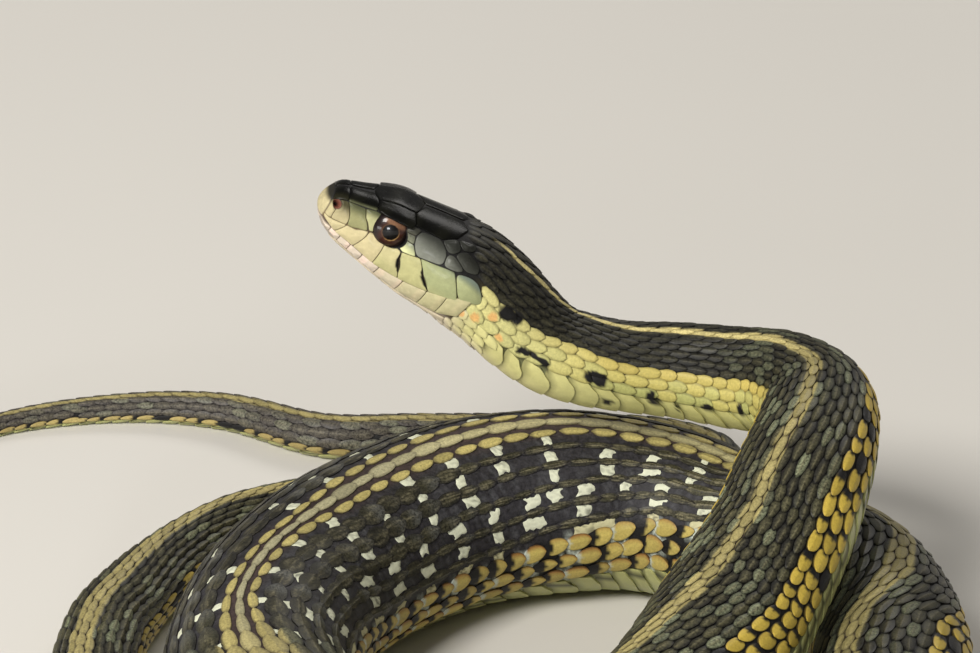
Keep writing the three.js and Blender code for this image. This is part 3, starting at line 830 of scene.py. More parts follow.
def scale_colour(s, row, number):
    """Colours of scales: stripe, dark back, gold side stripe, and the pale side of the neck, with
    painted highlights and sheen, and painted shade at rims and roots.
    """
    s, row, number = s[:, None], row[:, None], number[:, None]
    j = np.round(row)
    low = np.abs(j)
    first, second = chance(j, 2 * number), chance(2 * number, j, 3)
    bare, tight, middle_row = is_bare(s), is_tight(s), low < 0.5
    # Painted shade: the scales from about 240 to 340 mm behind the snout are darkened
    coil_shade = ramp(s, 238, 252) * fade(s, 300, 340)
    odd = (np.floor(number) + low) % 2

    def colour(place, degrees, row_here, v, u):
        side = np.abs(u)
        rim = np.clip(ramp(side, 0.62, 0.95) + ramp(v, 0.9, 1.0), 0, 1)
        root = fade(v, 0.02, 0.24)
        # Painted highlight along the keel of each scale
        keel_highlight = np.exp(-((u / 0.3) ** 2)) * ramp(v, 0.15, 0.4) * fade(v, 0.85, 1)
        lit = 0.3 + 0.7 * ramp(place, 45, 75)
        streak = chance(np.round(9 * u), np.round(3.2 * v + 2 * second), j, 2 * number)
        faded = root + 0.8 * ramp(v, 0.6, 0.95) + 0.4 * ramp(side, 0.5, 1) + 0.5 * first - 0.2
        dark = layered(
            CHARCOAL,
            (OLIVE, (0.05 + 0.95 * first) * lit),
            (PALE_SCALE, 0.6 * ramp(second, 0.62, 0.98) * (1 - bare) * ramp(s, 36, 70)),
            (KEEL_HIGHLIGHT, 0.6 * keel_highlight * lit * (1 - 0.4 * bare)),
            (CHARCOAL, 0.5 * bare * tight),
            # painted grey sheen on the scales where the thick coil closes up
            (GREY_SHEEN, 0.7 * bare * tight * ramp(v, 0.3, 0.8) * ramp(second, 0.3, 1)),
            (STREAK, (0.42 - 0.2 * tight) * bare * ramp(streak, 0.55, 0.95) * (1 - 0.7 * rim)),
            # Painted shade: black at the rims of each scale and at its root, under the scale in
            # front
            (BLACK, np.clip(0.7 * rim * (1 - 0.7 * bare) + 0.8 * root * (1 - bare), 0, 1)),
            (BARE_SKIN, bare * np.clip(faded, 0, 1) * (1 - 0.7 * is_snug(s)) * (1 - 0.6 * tight)),
            # painted shade on that stretch of the back
            (CHARCOAL, 0.35 * coil_shade),
            (TAIL_GREY, 0.45 * ramp(s, 500, 535)),
        )

        edge = along(STRIPE_EDGE, place) * (1 + 0.45 * (first - 0.5))
        striped = fade(np.abs(row_here), edge - 0.12, edge + 0.12) * ramp(place, 16.5, 18.5)
        striped = np.where(bare > 0.5, low < STRIPE_ROW, striped)
        stripe = layered(
            STRIPE,
            (STRIPE_OLIVE, bare * middle_row),
            (STRIPE_GREY, 0.6 * bare * middle_row * tight),
            (STRIPE_YELLOW, ~middle_row * (0.1 + 0.5 * bare)),
            (STRIPE_NECK, 0.6 * fade(place, 40, 66)),
        )
        stripe = layered(
            stripe * (0.8 + 0.36 * second[..., None]),
            # painted shade on that stretch of the stripe
            (OLIVE, 0.3 * coil_shade * (0.5 + first)),
            # painted shade at the rims and roots
            (STRIPE_RIM_SHADE, np.clip(0.5 * rim * ramp(place, 55, 75) + 0.7 * root, 0, 1)),
        )

        gold = layered(
            DEEP_GOLD,
            (GOLD, np.clip(bare + 0.5 * ramp(s, 240, 400), 0, 1)),
            (TAIL_GOLD, 0.75 * ramp(s, 440, 520)),
        )
        toward_back = -np.sign(row) * u
        warm = np.clip(ramp(toward_back, 0.35, 0.95) + 0.5 * ramp(v, 0.8, 1), 0, 1)
        reach = v + 0.14 * side
        cell = 0.44 - 0.2 * odd + 0.04 * bare - (0.14 - 0.04 * odd) * ramp(s, 202, 214) * bare
        gold = layered(
            gold * ((0.8 + 0.34 * first) * (1 - 0.2 * ramp(s, 236, 250)))[..., None],
            (RUST, 0.9 * warm * (0.3 + 0.7 * second) * (0.2 + 0.8 * bare)),
            (BLACK, (0.85 - 0.3 * bare) * ramp(side, 0.84, 1.0)),
            (mix(BLACK, PALE_BLUE, odd * bare), fade(reach, cell, cell + 0.08)),
            (BLACK, (second < 0.16) * (1 - bare)),
            (BLACK, (second < 0.24) * bare * fade(reach, 0.56, 0.66)),
        )

        pale = layered(
            NECK_GOLD,
            (NECK_YELLOW, ramp(low, 6.8, 8.1)),
            (NECK_GREEN, ramp(low, 8, 9) * 0.8 + 0.2 * first),
            (NECK_GOLD, 0.5 * (second > 0.75)),
            (PALE_YELLOW, 0.75 * fade(place, 20, 38)),
        )
        pale = pale * (0.92 + 0.14 * second[..., None])
        # The rims and root are darkened toward the skin's colour: partly a dark outline, partly
        # painted shade
        pale = mix(pale, NECK_SKIN, np.clip(0.45 * rim + 0.6 * fade(v, 0, 0.12), 0, 1))

        neck_end = np.where(row > 0, 62, 52)
        out = layered(
            dark,
            (stripe, striped),
            (mix(pale, gold, ramp(s + 6 * (first - 0.5), neck_end, neck_end + 5)), low > SIDE_ROW),
            (ORANGE, 0.8 * spotted(SPOTS, place, degrees) * (place < 30)),
            (BLACK, spotted(BLOTCHES, place, degrees) * (place < NECK_END)),
        )
        grained = np.where(low > SIDE_ROW, 0.1, np.where(striped > 0.5, 0.35, 1.0))
        grained = np.broadcast_to(grained, out.shape[:-1])
        return np.concatenate([out, grained[..., None]], -1)

    return colour


def back_piece(name, first, last):
    """Scales of the back and sides; on the bare coil they are slim and stand apart."""
    s, row, length, number = lattice(first, last, [(j, j) for j in range(-LAST_ROW, LAST_ROW + 1)])
    low, bare, tight, neck = np.abs(row), is_bare(s), is_tight(s), fade(s, 55, 72)
    gold, striped = low > SIDE_ROW, low < STRIPE_ROW
    wide, long, aside = (chance(row, 2 * number, key) - 0.5 for key in (13, 17, 19))

    cover = np.where(gold, 0.49, 0.54) + neck * np.where(gold, 0.12, 0.04)
    dark_narrow = 0.2 + (0.24 - 0.18 * ramp(low, 3, 5)) * tight
    narrow = np.select([striped, gold], [0.41 - 0.13 * low, 0.45], dark_narrow)
    narrow = narrow + 0.15 * is_snug(s) * ~gold
    cover = (cover * (1 - bare) + narrow * bare) * (1 + (0.16 + 0.2 * bare) * wide)
    dark_round = 0.25 - (0.15 - 0.12 * tight) * bare
    rounded = np.select([gold, striped], [0.85 - 0.35 * bare, 0.3 + 0.4 * bare], dark_round)
    keel = np.where(gold, 0.02, 0.07) * (low < 8.5) * np.interp(s, [15, 30, 60], [0.1, 0.4, 1])
    rise = 0.16 + 0.05 * fade(s, 15, 19) - 0.09 * bare * ~gold
    bulge = 0.12 - (0.08 * ~gold + 0.05 * gold) * bare - 0.04 * fade(s, 20, 50) * ~gold
    longer = 1 + 0.12 * long - 0.04 * gold * (1 - neck) * (1 - bare) - 0.06 * gold * bare
    longer = longer - 0.24 * bare * (low == 1) + 0.06 * bare * (low == 0)

    colours = scale_colour(s, row, number)
    row = row + 0.07 * aside * ramp(s, 20, 40)
    return make_scales(name, s, row, length * longer, cover, rounded, rise, bulge, keel, colours)


ROW_REACH = 0.45  # of the last row beyond its middle, in rows


def tail_piece(name, first, last, count):
    """Scales of the tail, whose rows grow wider as they become fewer."""
    half = count // 2
    wide = (LAST_ROW + ROW_REACH) / (half + ROW_REACH)
    s, row, length, number = lattice(first, last, [(j, j * wide) for j in range(-half, half + 1)])
    rise = 0.12 * np.interp(s, [560, LENGTH], [1, 0.4])
    keel = 0.06 * np.interp(s, [VENT, LENGTH], [1, 0.3])
    colours = scale_colour(s, row, number)
    return make_scales(name, s, row, length, 0.54 * wide, 0.4, rise, 0.1, keel, colours)


# Where the coat is cut into pieces, and on the tail how many rows of scales each has
BODY_CUTS = [11, 72, 135, 205, 270, 340, 400, VENT]
TAIL_CUTS = [(VENT, 490, 15), (490, 530, 11), (530, 565, 9), (565, LENGTH, 7)]
coat = []
for i, (first, last) in enumerate(zip(BODY_CUTS[:-1], BODY_CUTS[1:])):
    coat.append(back_piece(f"scales_body_{i + 1:02d}", first, last))
for i, (first, last, count) in enumerate(TAIL_CUTS):
    coat.append(tail_piece(f"scales_tail_{i + 1:02d}", first, last, count))


FLECK_PHASE = 0.05  # how far behind a scale's root its fleck is, in scales
FLECK_GAPS = (1.5, 2.5, 3.5, 4.5, 5.5, 6.5)
FLECK_POINTS = 7


def fleck_places():
    """Distance, row, size and lean of each fleck, in lines across every second scale."""
    places = []
    for number in np.arange(25, number_at(450.0)):
        for gap in FLECK_GAPS:
            for side in (1, -1):
                key = (number, gap * 2, side)
                column = (number + (gap > 4)) % 2
                s = float(place_of(number + FLECK_PHASE + 0.12 * (chance(*key) - 0.5)))
                bare = float(is_bare(s))
                share = (0.93 if column == 0 else 0.03) * ramp(bare, 0.1, 0.6)
                if chance(*key, 5) < share:
                    size = np.interp(gap, [1.5, 6.5], [1.2, 1.75]) * (0.6 + 0.6 * chance(*key, 7))
                    size = size * (0.35 + 0.65 * bare)
                    places.append((s, side * gap, size, chance(*key, 9)))
    return (np.array(x)[:, None] for x in zip(*places))


def make_flecks():
    """Pale torn flecks of bare skin between the rows."""
    s, row, size, lean = fleck_places()
    root = row_angle(row, s)
    stretch = np.linalg.norm(surface(s + 0.5, root) - surface(s - 0.5, root), axis=-1)
    size = size / np.clip(stretch, 0.6, 1.3)
    grid = np.linspace(-1, 1, FLECK_POINTS)
    v, u = (x.ravel()[None] for x in np.meshgrid(grid, grid, indexing="ij"))
    edge = np.maximum(np.abs(u), np.abs(v))
    along_skin = v * (1 - 0.3 * (lean - 0.2) * u) + 0.25 * (lean - 0.5) * u
    along_skin = along_skin + 0.2 * edge * np.sin(2.6 * u + 40 * lean)
    across = u * (1 - 0.25 * lean * v) + 0.22 * edge * np.sin(2.9 * v + 70 * lean)
    place = s + 0.62 * size * along_skin * (1 - 0.18 * (edge > 0.9) * (np.abs(u * v) > 0.7))
    row_here = row + (0.27 + 0.06 * lean + 0.05 * ramp(s, 192, 206)) * across
    points = surface(place, row_angle(row_here, place), -0.17 - 0.1 * ramp(edge, 0.7, 1))
    crumb = chance(np.round(u * 3), np.round(v * 3), np.round(s))
    worn = chance(np.round(s * 10), np.round(row * 2), 11) * ramp(crumb, 0.5, 1)
    colours = layered(
        FLECK, (STRIPE_YELLOW, 0.5 * ramp(np.abs(row), 5.8, 6.5)), (BARE_SKIN, 0.75 * worn),
    )
    faces = repeated(grid_faces(FLECK_POINTS, FLECK_POINTS), len(s), FLECK_POINTS**2)
    uv = patch(s, root, u, v)
    return make_mesh("skin_flecks", SKIN_MATT, points, faces, [], colours, uv)


coat.append(make_flecks())


def belly_colour(s, degrees, number, share):
    """Colours of a belly scute, share running from 0 in the middle to 1 at its ends."""
    tone = chance(number, 2)
    spot = ramp(share, 0.84, 0.88) * fade(share, 0.94, 0.98) * (tone > 0.35)
    return layered(
        BELLY,
        (NECK_GREEN, 0.4 * tone),
        (NECK_BELLY, 0.8 * fade(s, 45, 75)),
        (NECK_YELLOW, 0.35 * ramp(share, 0.5, 1)),
        (PALE_YELLOW, 0.7 * fade(s, 22, 40)),
        (CHIN, 0.6 * fade(s, 18, 34) * fade(share, 0.3, 0.9)),
        (BLACK, 0.85 * spot * ramp(s, 60, 70)),
        (BLACK, spotted(BLOTCHES, s, degrees) * (s < NECK_END)),
    )


# Depth of a scute's lower edge, its length for each step, and its run on the map for each mm
SCUTE_FOOT, SCUTE_OVERLAP, SCUTE_MAP = -0.26, 1.2, 0.0035


def make_scutes(name, first, last, halves):
    """Broad scutes across the belly, or two rows of them side by side under the tail."""
    low, high = number_at(np.array([first, last]))
    cols, rows = (27, 8) if halves == 1 else (13, 6)
    picks, under, faces = plate(rows, cols)
    v, u = np.meshgrid(np.linspace(0, 1, rows), np.linspace(-1, 1, cols), indexing="ij")
    side = np.abs(u)
    points, colours, quads, uvs = [], [], [], []
    for number in np.arange(math.ceil(low), math.floor(high) + 1):
        for half in range(halves):
            s0 = float(place_of(number + 0.5 * half))
            long = SCUTE_OVERLAP * along(PITCH, s0)
            if s0 + long > LENGTH - 0.5:
                continue
            twist, edge = along(TWIST, s0), belly_edge(s0)
            ends = [(edge, 360 - edge)] if halves == 1 else [(edge, 182), (178, 360 - edge)]
            start, end = ends[half]
            s = s0 + long * v * (1 - 0.3 * ramp(side, 0.86, 1.0)) - 0.25 * long * ramp(side, 0.7, 1)
            degrees = twist + (start + end) / 2 + (end - start) / 2 * u
            lift = -0.15 + 0.2 * v - 0.08 * ramp(side, 0.9, 1.0) + 0.05 * np.sin(math.pi * v)
            s, degrees, lift, back = (x.ravel()[picks] for x in (s, degrees, lift, v))
            share = np.abs((degrees - twist) % 360 - 180) / (180 - edge)
            shade = 0.55 + 0.45 * ramp(back, 0.16, 0.4)
            quads.append(faces + len(points) * len(s))
            points.append(surface(s, degrees, np.where(under > 0, SCUTE_FOOT, lift)))
            colours.append(belly_colour(s, degrees, number, share) * shade[:, None])
            uvs.append(unwrap(s0 + 0 * s, degrees) + np.stack([0 * s, (s - s0) * SCUTE_MAP], -1))
    points, quads, colours, uvs = (np.vstack(x) for x in (points, quads, colours, uvs))
    return make_mesh(name, BELLY_GLOSS, points, quads, [], colours, uvs)


coat.append(make_scutes("scutes_belly_01", 21, 150, 1))
coat.append(make_scutes("scutes_belly_02", 150, 300, 1))
coat.append(make_scutes("scutes_belly_03", 300, VENT, 1))
coat.append(make_scutes("scutes_tail", VENT, LENGTH - 3, 2))


# The throat's scales: angle of the first column, degrees from one to the next, half width in
# degrees, distance of the first row, millimetres from one to the next, and length of a scale
THROAT_EDGE, THROAT_COLUMN, THROAT_HALF = 97, 13.8, 7.6
THROAT_FRONT, THROAT_ROW, THROAT_LONG = 8, 1.7, 2.1
# Where they start, by how far they are from the middle of the throat
THROAT_START = [(0, 11), (20, 11), (30, 13.2), (45, 16.5), (60, 17.3), (83, 17.6)]


def make_throat():
    """Small smooth scales of the throat, between the chin shields and the first belly scutes."""
    places = []
    for j in range(12):
        angle = THROAT_EDGE + (j + 0.5) * THROAT_COLUMN
        start = along(THROAT_START, abs(angle - 180))
        for k in range(20):
            s = THROAT_FRONT + (k + 0.5 * (j % 2)) * THROAT_ROW
            if s + 1.2 > start and s < 22:
                places.append((max(s, start), angle, s + THROAT_LONG))
    s, angle, tip = np.array(places).T[:, :, None]
    v, u, under = SCALE_V[None], SCALE_U[None], SCALE_UNDER[None]
    place = s + (tip - s) * v
    degrees = angle + THROAT_HALF * half_width(v, 0.75) * u * (1 - 0.04 * under)
    lift = np.where(under > 0, SCALE_FOOT, -0.12 + 0.12 * v + 0.12 * (1 - np.abs(u) ** 2.2))
    # Rims and roots, which get painted shade
    rim = np.clip(ramp(np.abs(u), 0.7, 1) + 1 - ramp(v, 0, 0.15), 0, 1)
    tone = mix(CHIN, PALE_YELLOW, ramp(place, 13, 21) * ramp(np.abs(degrees - 180), 20, 70))
    colours = layered(
        # painted shade: the rims and roots are a darker copy of the scale's colour
        tone, (tone * 0.5, 0.7 * rim), (ORANGE, 0.8 * spotted(SPOTS, place, degrees)),
    )
    faces = repeated(SCALE_FACES, len(s), len(SCALE_V))
    points, uv = surface(place, degrees, lift), patch(s, angle, u, v)
    return make_mesh("scales_throat", BELLY_GLOSS, points, faces, [], colours, uv)


coat.append(make_throat())


# Shields of the head by their corners on the left side, all the same way round: distance behind
# the snout, angle from the middle of the crown
CROWN = {
    "internasal": [(0.85, 1), (2.1, 1), (2.3, 50), (0.9, 55)],
    "prefrontal": [(2.1, 1), (4.5, 1), (5, 18), (5.2, 50), (2.3, 50)],
    "supraocular": [(5, 18), (8.8, 20), (9.1, 44), (8.9, 54), (7.5, 58.5), (6.1, 57.5), (5.2, 50)],
    "parietal": [(9.6, 1), (14, 1), (14.6, 12), (13.7, 31), (12.1, 43), (9.1, 44), (8.8, 20)],
}
FRONTAL = [(4.5, 0), (5, -18), (8.8, -20), (9.6, 0), (8.8, 20), (5, 18)]
CHEEK = {
    "nasal_front": [(0.85, 55), (1.5, 53), (1.6, 100), (0.9, 104)],
    "nasal_rear": [(1.5, 53), (2.3, 50), (3, 78), (3.3, 92), (1.6, 100)],
    "loreal": [(2.3, 50), (4.1, 52), (4.5, 72), (5.3, 88), (3.3, 92), (3, 78)],
    "preocular": [(4.1, 52), (5.2, 50), (6.3, 55), (6.4, 75), (5.9, 86), (5.4, 87.5), (4.5, 72)],
    "postocular_high": [(8.5, 56), (9.1, 45), (9.9, 46), (9.6, 58), (8.6, 60)],
    "postocular_middle": [(8.6, 60), (9.6, 58), (9.8, 70), (8.8, 71)],
    "postocular_low": [(8.8, 71), (9.8, 70), (10.5, 81), (9.1, 86), (8.3, 82)],
    "temporal_front": [
        (9.9, 46), (12.1, 43), (13.2, 55), (13.3, 71.5), (11, 79), (10.5, 81), (9.8, 70), (9.6, 58),
    ],
    "temporal_high": [(12.1, 43), (13.7, 31), (14.5, 43), (13.9, 52), (13.2, 55)],
    "temporal_low": [(13.2, 55), (13.9, 52), (15.5, 63), (14.7, 69), (13.3, 71.5)],
    "nape_high": [(13.7, 31), (15.6, 26), (15.7, 36), (15, 40), (14.5, 43)],
    "nape_low": [(14.5, 43), (15, 40), (16.5, 47), (16.7, 58), (15.5, 63), (13.9, 52)],
}
# Upper and lower end of each seam between the upper lip's shields
LIP_SEAMS = [
    ((0.88, 104), (0.88, 112)), ((3.3, 92), (2.6, 122)), ((5.5, 87), (4.9, 122)),
    ((7.4, 86.5), (7.4, 125)), ((9.1, 86), (10.2, 118)), ((11, 79), (13.3, 107)),
    ((14.6, 69), (16.3, 96)), ((16.9, 62), (18.8, 80)),
]
LOWER_SEAMS = [0.9, 2.2, 3.4, 4.7, 6.2, 8.2, 10.8, 13.2, 15.2, 17.6]
LOWER_EDGE = [(0.9, 128), (3, 142), (6, 150), (9, 149), (12, 142), (15, 132), (17.5, 112)]
CHIN_SHIELDS = {
    "chin_front": [(2.4, 178), (3.2, 151), (6.8, 158), (6.4, 178)],
    "chin_rear": [(6.4, 178), (6.8, 158), (10.9, 156), (10.8, 174)],
    "chin_side_front": [(3.2, 151), (3, 143), (6, 151), (9, 150), (9.6, 156), (6.8, 158)],
    "chin_side_rear": [(9, 150), (12, 143), (13.2, 150), (10.9, 156), (9.6, 156)],
    "chin_side_far": [(12, 143), (15, 133), (16.8, 128), (17, 140), (13.2, 150)],
}
# How round a kind of shield is at its corners, and how high its middle rises
SHIELD_SHAPES = [
    (("temporal", "nape"), 24, 0.14), ("upper_lip_7", 70, 0.16), ("upper_lip", 3, 0.07),
    ("lower_lip", 3, 0.06), (("nasal", "loreal", "preocular", "postocular"), 3, 0.05),
    ("chin", 8, 0.05), ("", 2, 0.0),
]
# Each ring of a shield: its distance from the outline, its lift, and how dark the seam makes it
SHIELD_RINGS = [
    (0.015, -0.14, 1.0), (0.03, 0.01, 0.5), (0.06, 0.06, 0.1), (0.12, 0.08, 0), (0.25, 0.09, 0),
]
SHIELD_STEP = 0.11  # greatest distance of points on a shield's outline, in millimetres
# Inner rings by their share of the last one's size, and the lift of all of them
INNER_RINGS = (0.8, 0.6, 0.4, 0.2)
INNER_LIFT = 0.1
# Colours of the cheek's shields above and below, and the angles where these start and end
CHEEK_TONES = [
    ("nasal_front", mix(OLIVE, CREAM, 0.15), mix(OLIVE, CREAM, 0.85), 58, 80),
    ("nasal_rear", mix(OLIVE, CREAM, 0.05), mix(OLIVE, CREAM, 0.85), 62, 92),
    ("loreal", rgb(78, 80, 57), rgb(142, 140, 100), 56, 84),
    ("preocular", rgb(84, 86, 62), rgb(176, 174, 130), 54, 74),
    ("postocular_low", rgb(130, 134, 112), rgb(200, 202, 152), 72, 84),
    ("postocular", rgb(58, 58, 52), rgb(112, 114, 96), 52, 72),
    (("temporal", "nape"), rgb(50, 51, 47), rgb(122, 124, 114), 44, 78),
]
# Colours of the upper lip's shields from the front
LIP_TINTS = [CREAM] * 3 + [mix(CREAM, LIP_YELLOW, 0.5), LIP_YELLOW, LIP_GREEN, LIP_GREEN]
# Share of blue in the upper lip's last shields, and where it fades on the way down
LIP_SHEEN = {6: (0.5, 0.0, 0.45), 7: (0.9, 0.25, 0.8)}
# Seams of the upper lip with a black bar, and where it starts and ends on the way down
LIP_BARS = {4: (0.0, 0.75), 5: (0.25, 0.98)}


def shield_rings(corners, passes):
    """The rounded outline of a shield and rings that step in to its middle."""
    corners = np.array(corners, float)
    middle = corners.mean(0)
    side = surface(middle[0], middle[1] + np.array([-0.5, 0.5]))
    per_degree = np.linalg.norm(side[1] - side[0])
    chart = (corners - middle) * [1, per_degree]
    loop = []
    for p, q in zip(chart, np.roll(chart, -1, axis=0)):
        n = max(2, math.ceil(np.linalg.norm(q - p) / SHIELD_STEP))
        loop.append(p + (q - p) * (np.arange(n) / n)[:, None])
    loop = np.vstack(loop)
    for _ in range(passes):
        loop = loop * 0.5 + 0.25 * (np.roll(loop, 1, axis=0) + np.roll(loop, -1, axis=0))
    reach = np.linalg.norm(loop, axis=1, keepdims=True)
    rings = [loop * np.maximum(1 - inset / reach, 0.2) for inset, _, _ in SHIELD_RINGS]
    rings += [rings[-1] * share for share in INNER_RINGS]
    rings = np.vstack(rings + [np.zeros((1, 2))])
    return middle[0] + rings[:, 0], middle[1] + rings[:, 1] / per_degree, len(loop)


def push_clear(s, degrees, label):
    """Keeps a shield's points out of the openings of the eye and the nostril."""
    height = height_on_head(s, degrees)
    ds, dh = (s - EYE["back"]) / EYE["long"], (height - EYE["height"]) / EYE["high"]
    reach = np.maximum(np.hypot(ds, dh), 1e-6)
    inside = (reach < 1) & (degrees > SIDE_FROM)
    s = np.where(inside, EYE["back"] + ds / reach * EYE["long"], s)
    height = np.where(inside, EYE["height"] + dh / reach * EYE["high"], height)
    if label.startswith("nasal"):
        opening = NOSTRIL["opening"]
        chord = np.sqrt(np.clip(opening**2 - (height - NOSTRIL["height"]) ** 2, 0, None))
        if label == "nasal_front":
            s = np.where(chord > 0, np.minimum(s, NOSTRIL["back"] - chord), s)
        else:
            s = np.where(chord > 0, np.maximum(s, NOSTRIL["back"] + chord), s)
        inside = inside | (chord > 0)
    return s, np.where(inside, angle_at_height(s, height), degrees)


def down_seam(number, a):
    """How far down a seam of the upper lip an angle is, and the seam's distance there."""
    top, foot = LIP_SEAMS[number]
    down = np.clip((a - top[1]) / (foot[1] - top[1]), -0.2, 1.2)
    return down, top[0] + (foot[0] - top[0]) * down


def lip_colour(number, s, a):
    """An upper lip shield: cream in front, green behind, with black bars on two of the seams."""
    colour = mix(LIP_TINTS[number - 1], LIP_YELLOW, 0.8 * ramp(a, 92, 116) * (number > 3))
    if number in LIP_SHEEN:
        share, start, end = LIP_SHEEN[number]
        down, _ = down_seam(number, a)
        blue = share * fade(down, start, end)
        colour = layered(colour, (LIP_BLUE, blue), (CHARCOAL, 0.7 * fade(down, 0.0, 0.14)))
    bar = 0
    for seam, way, full, faint in ((number, 1, 0.3, 0.33), (number - 1, -1, 0.12, 0.14)):
        if seam in LIP_BARS:
            low, high = LIP_BARS[seam]
            down, at = down_seam(seam, a)
            swell = np.sin(math.pi * np.clip((down - low) / (high - low), 0, 1))
            inside = fade(way * (at - s), full * swell, faint * swell + 0.06)
            bar = np.maximum(bar, inside * (swell > 0.02))
    return mix(colour, BLACK, bar)


def shield_colour(label, s, a):
    """Colours of the head's shields by name and place."""
    if label.startswith("upper_lip"):
        return lip_colour(int(label[-1]), s, a)
    if label.startswith("lower_lip"):
        rosy = mix(CHIN, ROSE, 0.5 * ramp(np.sin(s * 3.1), 0.2, 0.9))
        return mix(rosy, LIP_YELLOW, np.clip((int(label[-1]) - 5) / 3, 0, 0.8))
    if label.startswith("chin"):
        return mix(CHIN, CREAM, 0.4)
    for prefix, above, below, start, end in CHEEK_TONES:
        if label.startswith(prefix):
            return layered(above, (below, ramp(a, start, end)), (CHARCOAL, 0.6 * ramp(s, 13, 15.5)))
    return layered(
        CROWN_DARK,
        (CROWN_SHEEN, ramp(np.sin(s * 2.1 + a * 0.05), -0.5, 1)),
        (CROWN_EDGE, 0.7 * (label == "prefrontal") * ramp(a, 40, 50)),
        (OLIVE, 0.3 * (label == "internasal") * ramp(a, 20, 50)),
    )


def shield_outlines():
    """Name, corners and side of every shield of the head."""
    outlines = [("frontal", FRONTAL, 1)]
    for sign in (1, -1):
        for label, corners in {**CROWN, **CHEEK, **CHIN_SHIELDS}.items():
            outlines.append((label, corners, sign))
        for i, ((a, b), (c, d)) in enumerate(zip(LIP_SEAMS[:-1], LIP_SEAMS[1:])):
            outlines.append((f"upper_lip_{i + 1}", [a, c, d, b], sign))
        for i, (a, b) in enumerate(zip(LOWER_SEAMS[:-1], LOWER_SEAMS[1:])):
            top = [(a, float(mouth_angle(a))), (b, float(mouth_angle(b)))]
            foot = [(b, along(LOWER_EDGE, b)), (a, along(LOWER_EDGE, a))]
            outlines.append((f"lower_lip_{i + 1}", top + foot, sign))
    return outlines


def mirrored(faces, sign):
    return faces if sign > 0 else faces[:, ::-1]


def make_shields():
    """All shields of the head, left and right, as one mesh."""
    inner = np.zeros(len(INNER_RINGS))
    ring_share = np.append(np.ones(len(SHIELD_RINGS)), INNER_RINGS)
    ring_lift = np.append([lift for _, lift, _ in SHIELD_RINGS], inner + INNER_LIFT)
    ring_seam = np.append([seam for _, _, seam in SHIELD_RINGS], inner)
    points, colours, quads, tris, uvs = [], [], [], [], []
    offset = 0
    for label, corners, sign in shield_outlines():
        passes, dome = next((p, d) for prefix, p, d in SHIELD_SHAPES if label.startswith(prefix))
        s, a, n = shield_rings(corners, passes)
        lift = np.append(np.repeat(ring_lift + dome * (1 - ring_share**2), n), INNER_LIFT + dome)
        if label == "supraocular":
            lift = lift + 0.42 * ramp(a, 24, 60)
        else:
            s, a = push_clear(s, a, label)
            lift = lift - orbit_dip(s, a)
        if label.startswith("nasal"):
            near = nostril_reach(s, height_on_head(s, a))
            lift = lift + 0.08 * np.exp(-(((near - 0.62) / 0.18) ** 2))
        dark_seam = label in CROWN or label.startswith(("frontal", "temporal", "nape"))
        seam = 0.8 * np.append(np.repeat(ring_seam, n), 0)
        j, centre = np.arange(n), len(s) - 1
        tri = np.stack([centre - n + j, centre - n + (j + 1) % n, np.full(n, centre)], -1)
        quads.append(mirrored(grid_faces(centre // n, n, True), sign) + offset)
        tris.append(mirrored(tri, sign) + offset)
        points.append(surface(s, sign * a, lift))
        colours.append(mix(shield_colour(label, s, a), BLACK if dark_seam else SUTURE, seam))
        uvs.append(unwrap(np.clip(s, 0.05, 23.9), sign * a))
        offset += len(s)
    arrays = (np.vstack(x) for x in (points, quads, tris, colours, uvs))
    return make_mesh("head_shields", HEAD_GLOSS, *arrays)


shields = make_shields()


# The head's own directions; its axis is straight over its first steps
HEAD_STEPS = 60
SNOUT = SPINE[0, :3]
HEAD_BACK = unit(SPINE[HEAD_STEPS, :3] - SNOUT)
HEAD_DORSAL, HEAD_LEFT = spine_at(1.0)[1:3]


def on_head(back, height, side):
    """A point given in the head's own directions."""
    point = SNOUT
    for distance, way in ((back, HEAD_BACK), (height, HEAD_DORSAL), (side, HEAD_LEFT)):
        point = point + np.multiply.outer(distance, way)
    return point


def eye_material():
    """The markings of the iris under a clear wet coat."""
    material, tree, shader = new_material("eye")
    markings = node(tree, "ShaderNodeVertexColor", layer_name="Markings").outputs
    fibres = spread_out(tree, noise(tree, 5000, 6, 0.7), 0.75, 1.25)
    fill(tree, shader, [
        ("Base Color", scaled(tree, markings["Color"], fibres)),
        ("Roughness", 0.3), ("IOR", 1.25), ("Coat Weight", 1.0), ("Coat IOR", 1.3),
        ("Coat Roughness", 0.03),
    ])
    return material


EYE_WET = eye_material()
PUPIL, IRIS_RIM = rgb(8, 7, 8), rgb(14, 10, 10)
IRIS_INNER, IRIS_OUTER, IRIS_SIDE = rgb(56, 30, 23), rgb(38, 20, 17), rgb(26, 16, 15)
# The first is a painted tan reflection on the upper iris, the second the gold ring round the pupil
IRIS_REFLECTION, IRIS_GOLD = rgb(140, 104, 78), rgb(176, 140, 88)


def eye_colour(x, y):
    """Pupil, thin gold ring, brown iris with a painted tan reflection in an arc above, and a black
    rim.
    """
    reach = np.hypot(x + 0.08, y)
    # painted reflection: a tan arc on the upper iris
    reflection_arc = ramp(y, 0.28, 0.46) * fade(np.abs(x + 0.04), 0.45, 0.66)
    ring = fade(np.abs(reach - 0.435), 0.01, 0.035) * (0.1 + 0.75 * ramp(x - y, 0.05, 0.6))
    iris = layered(
        IRIS_INNER,
        (IRIS_OUTER, ramp(reach, 0.5, 0.8)),
        (IRIS_SIDE, ramp(np.abs(x), 0.45, 0.75)),
        (IRIS_REFLECTION, 0.6 * reflection_arc * fade(reach, 0.7, 0.85)),
        (IRIS_GOLD, ring),
        (IRIS_RIM, ramp(reach, 0.78, 0.9)),
    )
    return mix(PUPIL, iris, ramp(reach, 0.39, 0.41))


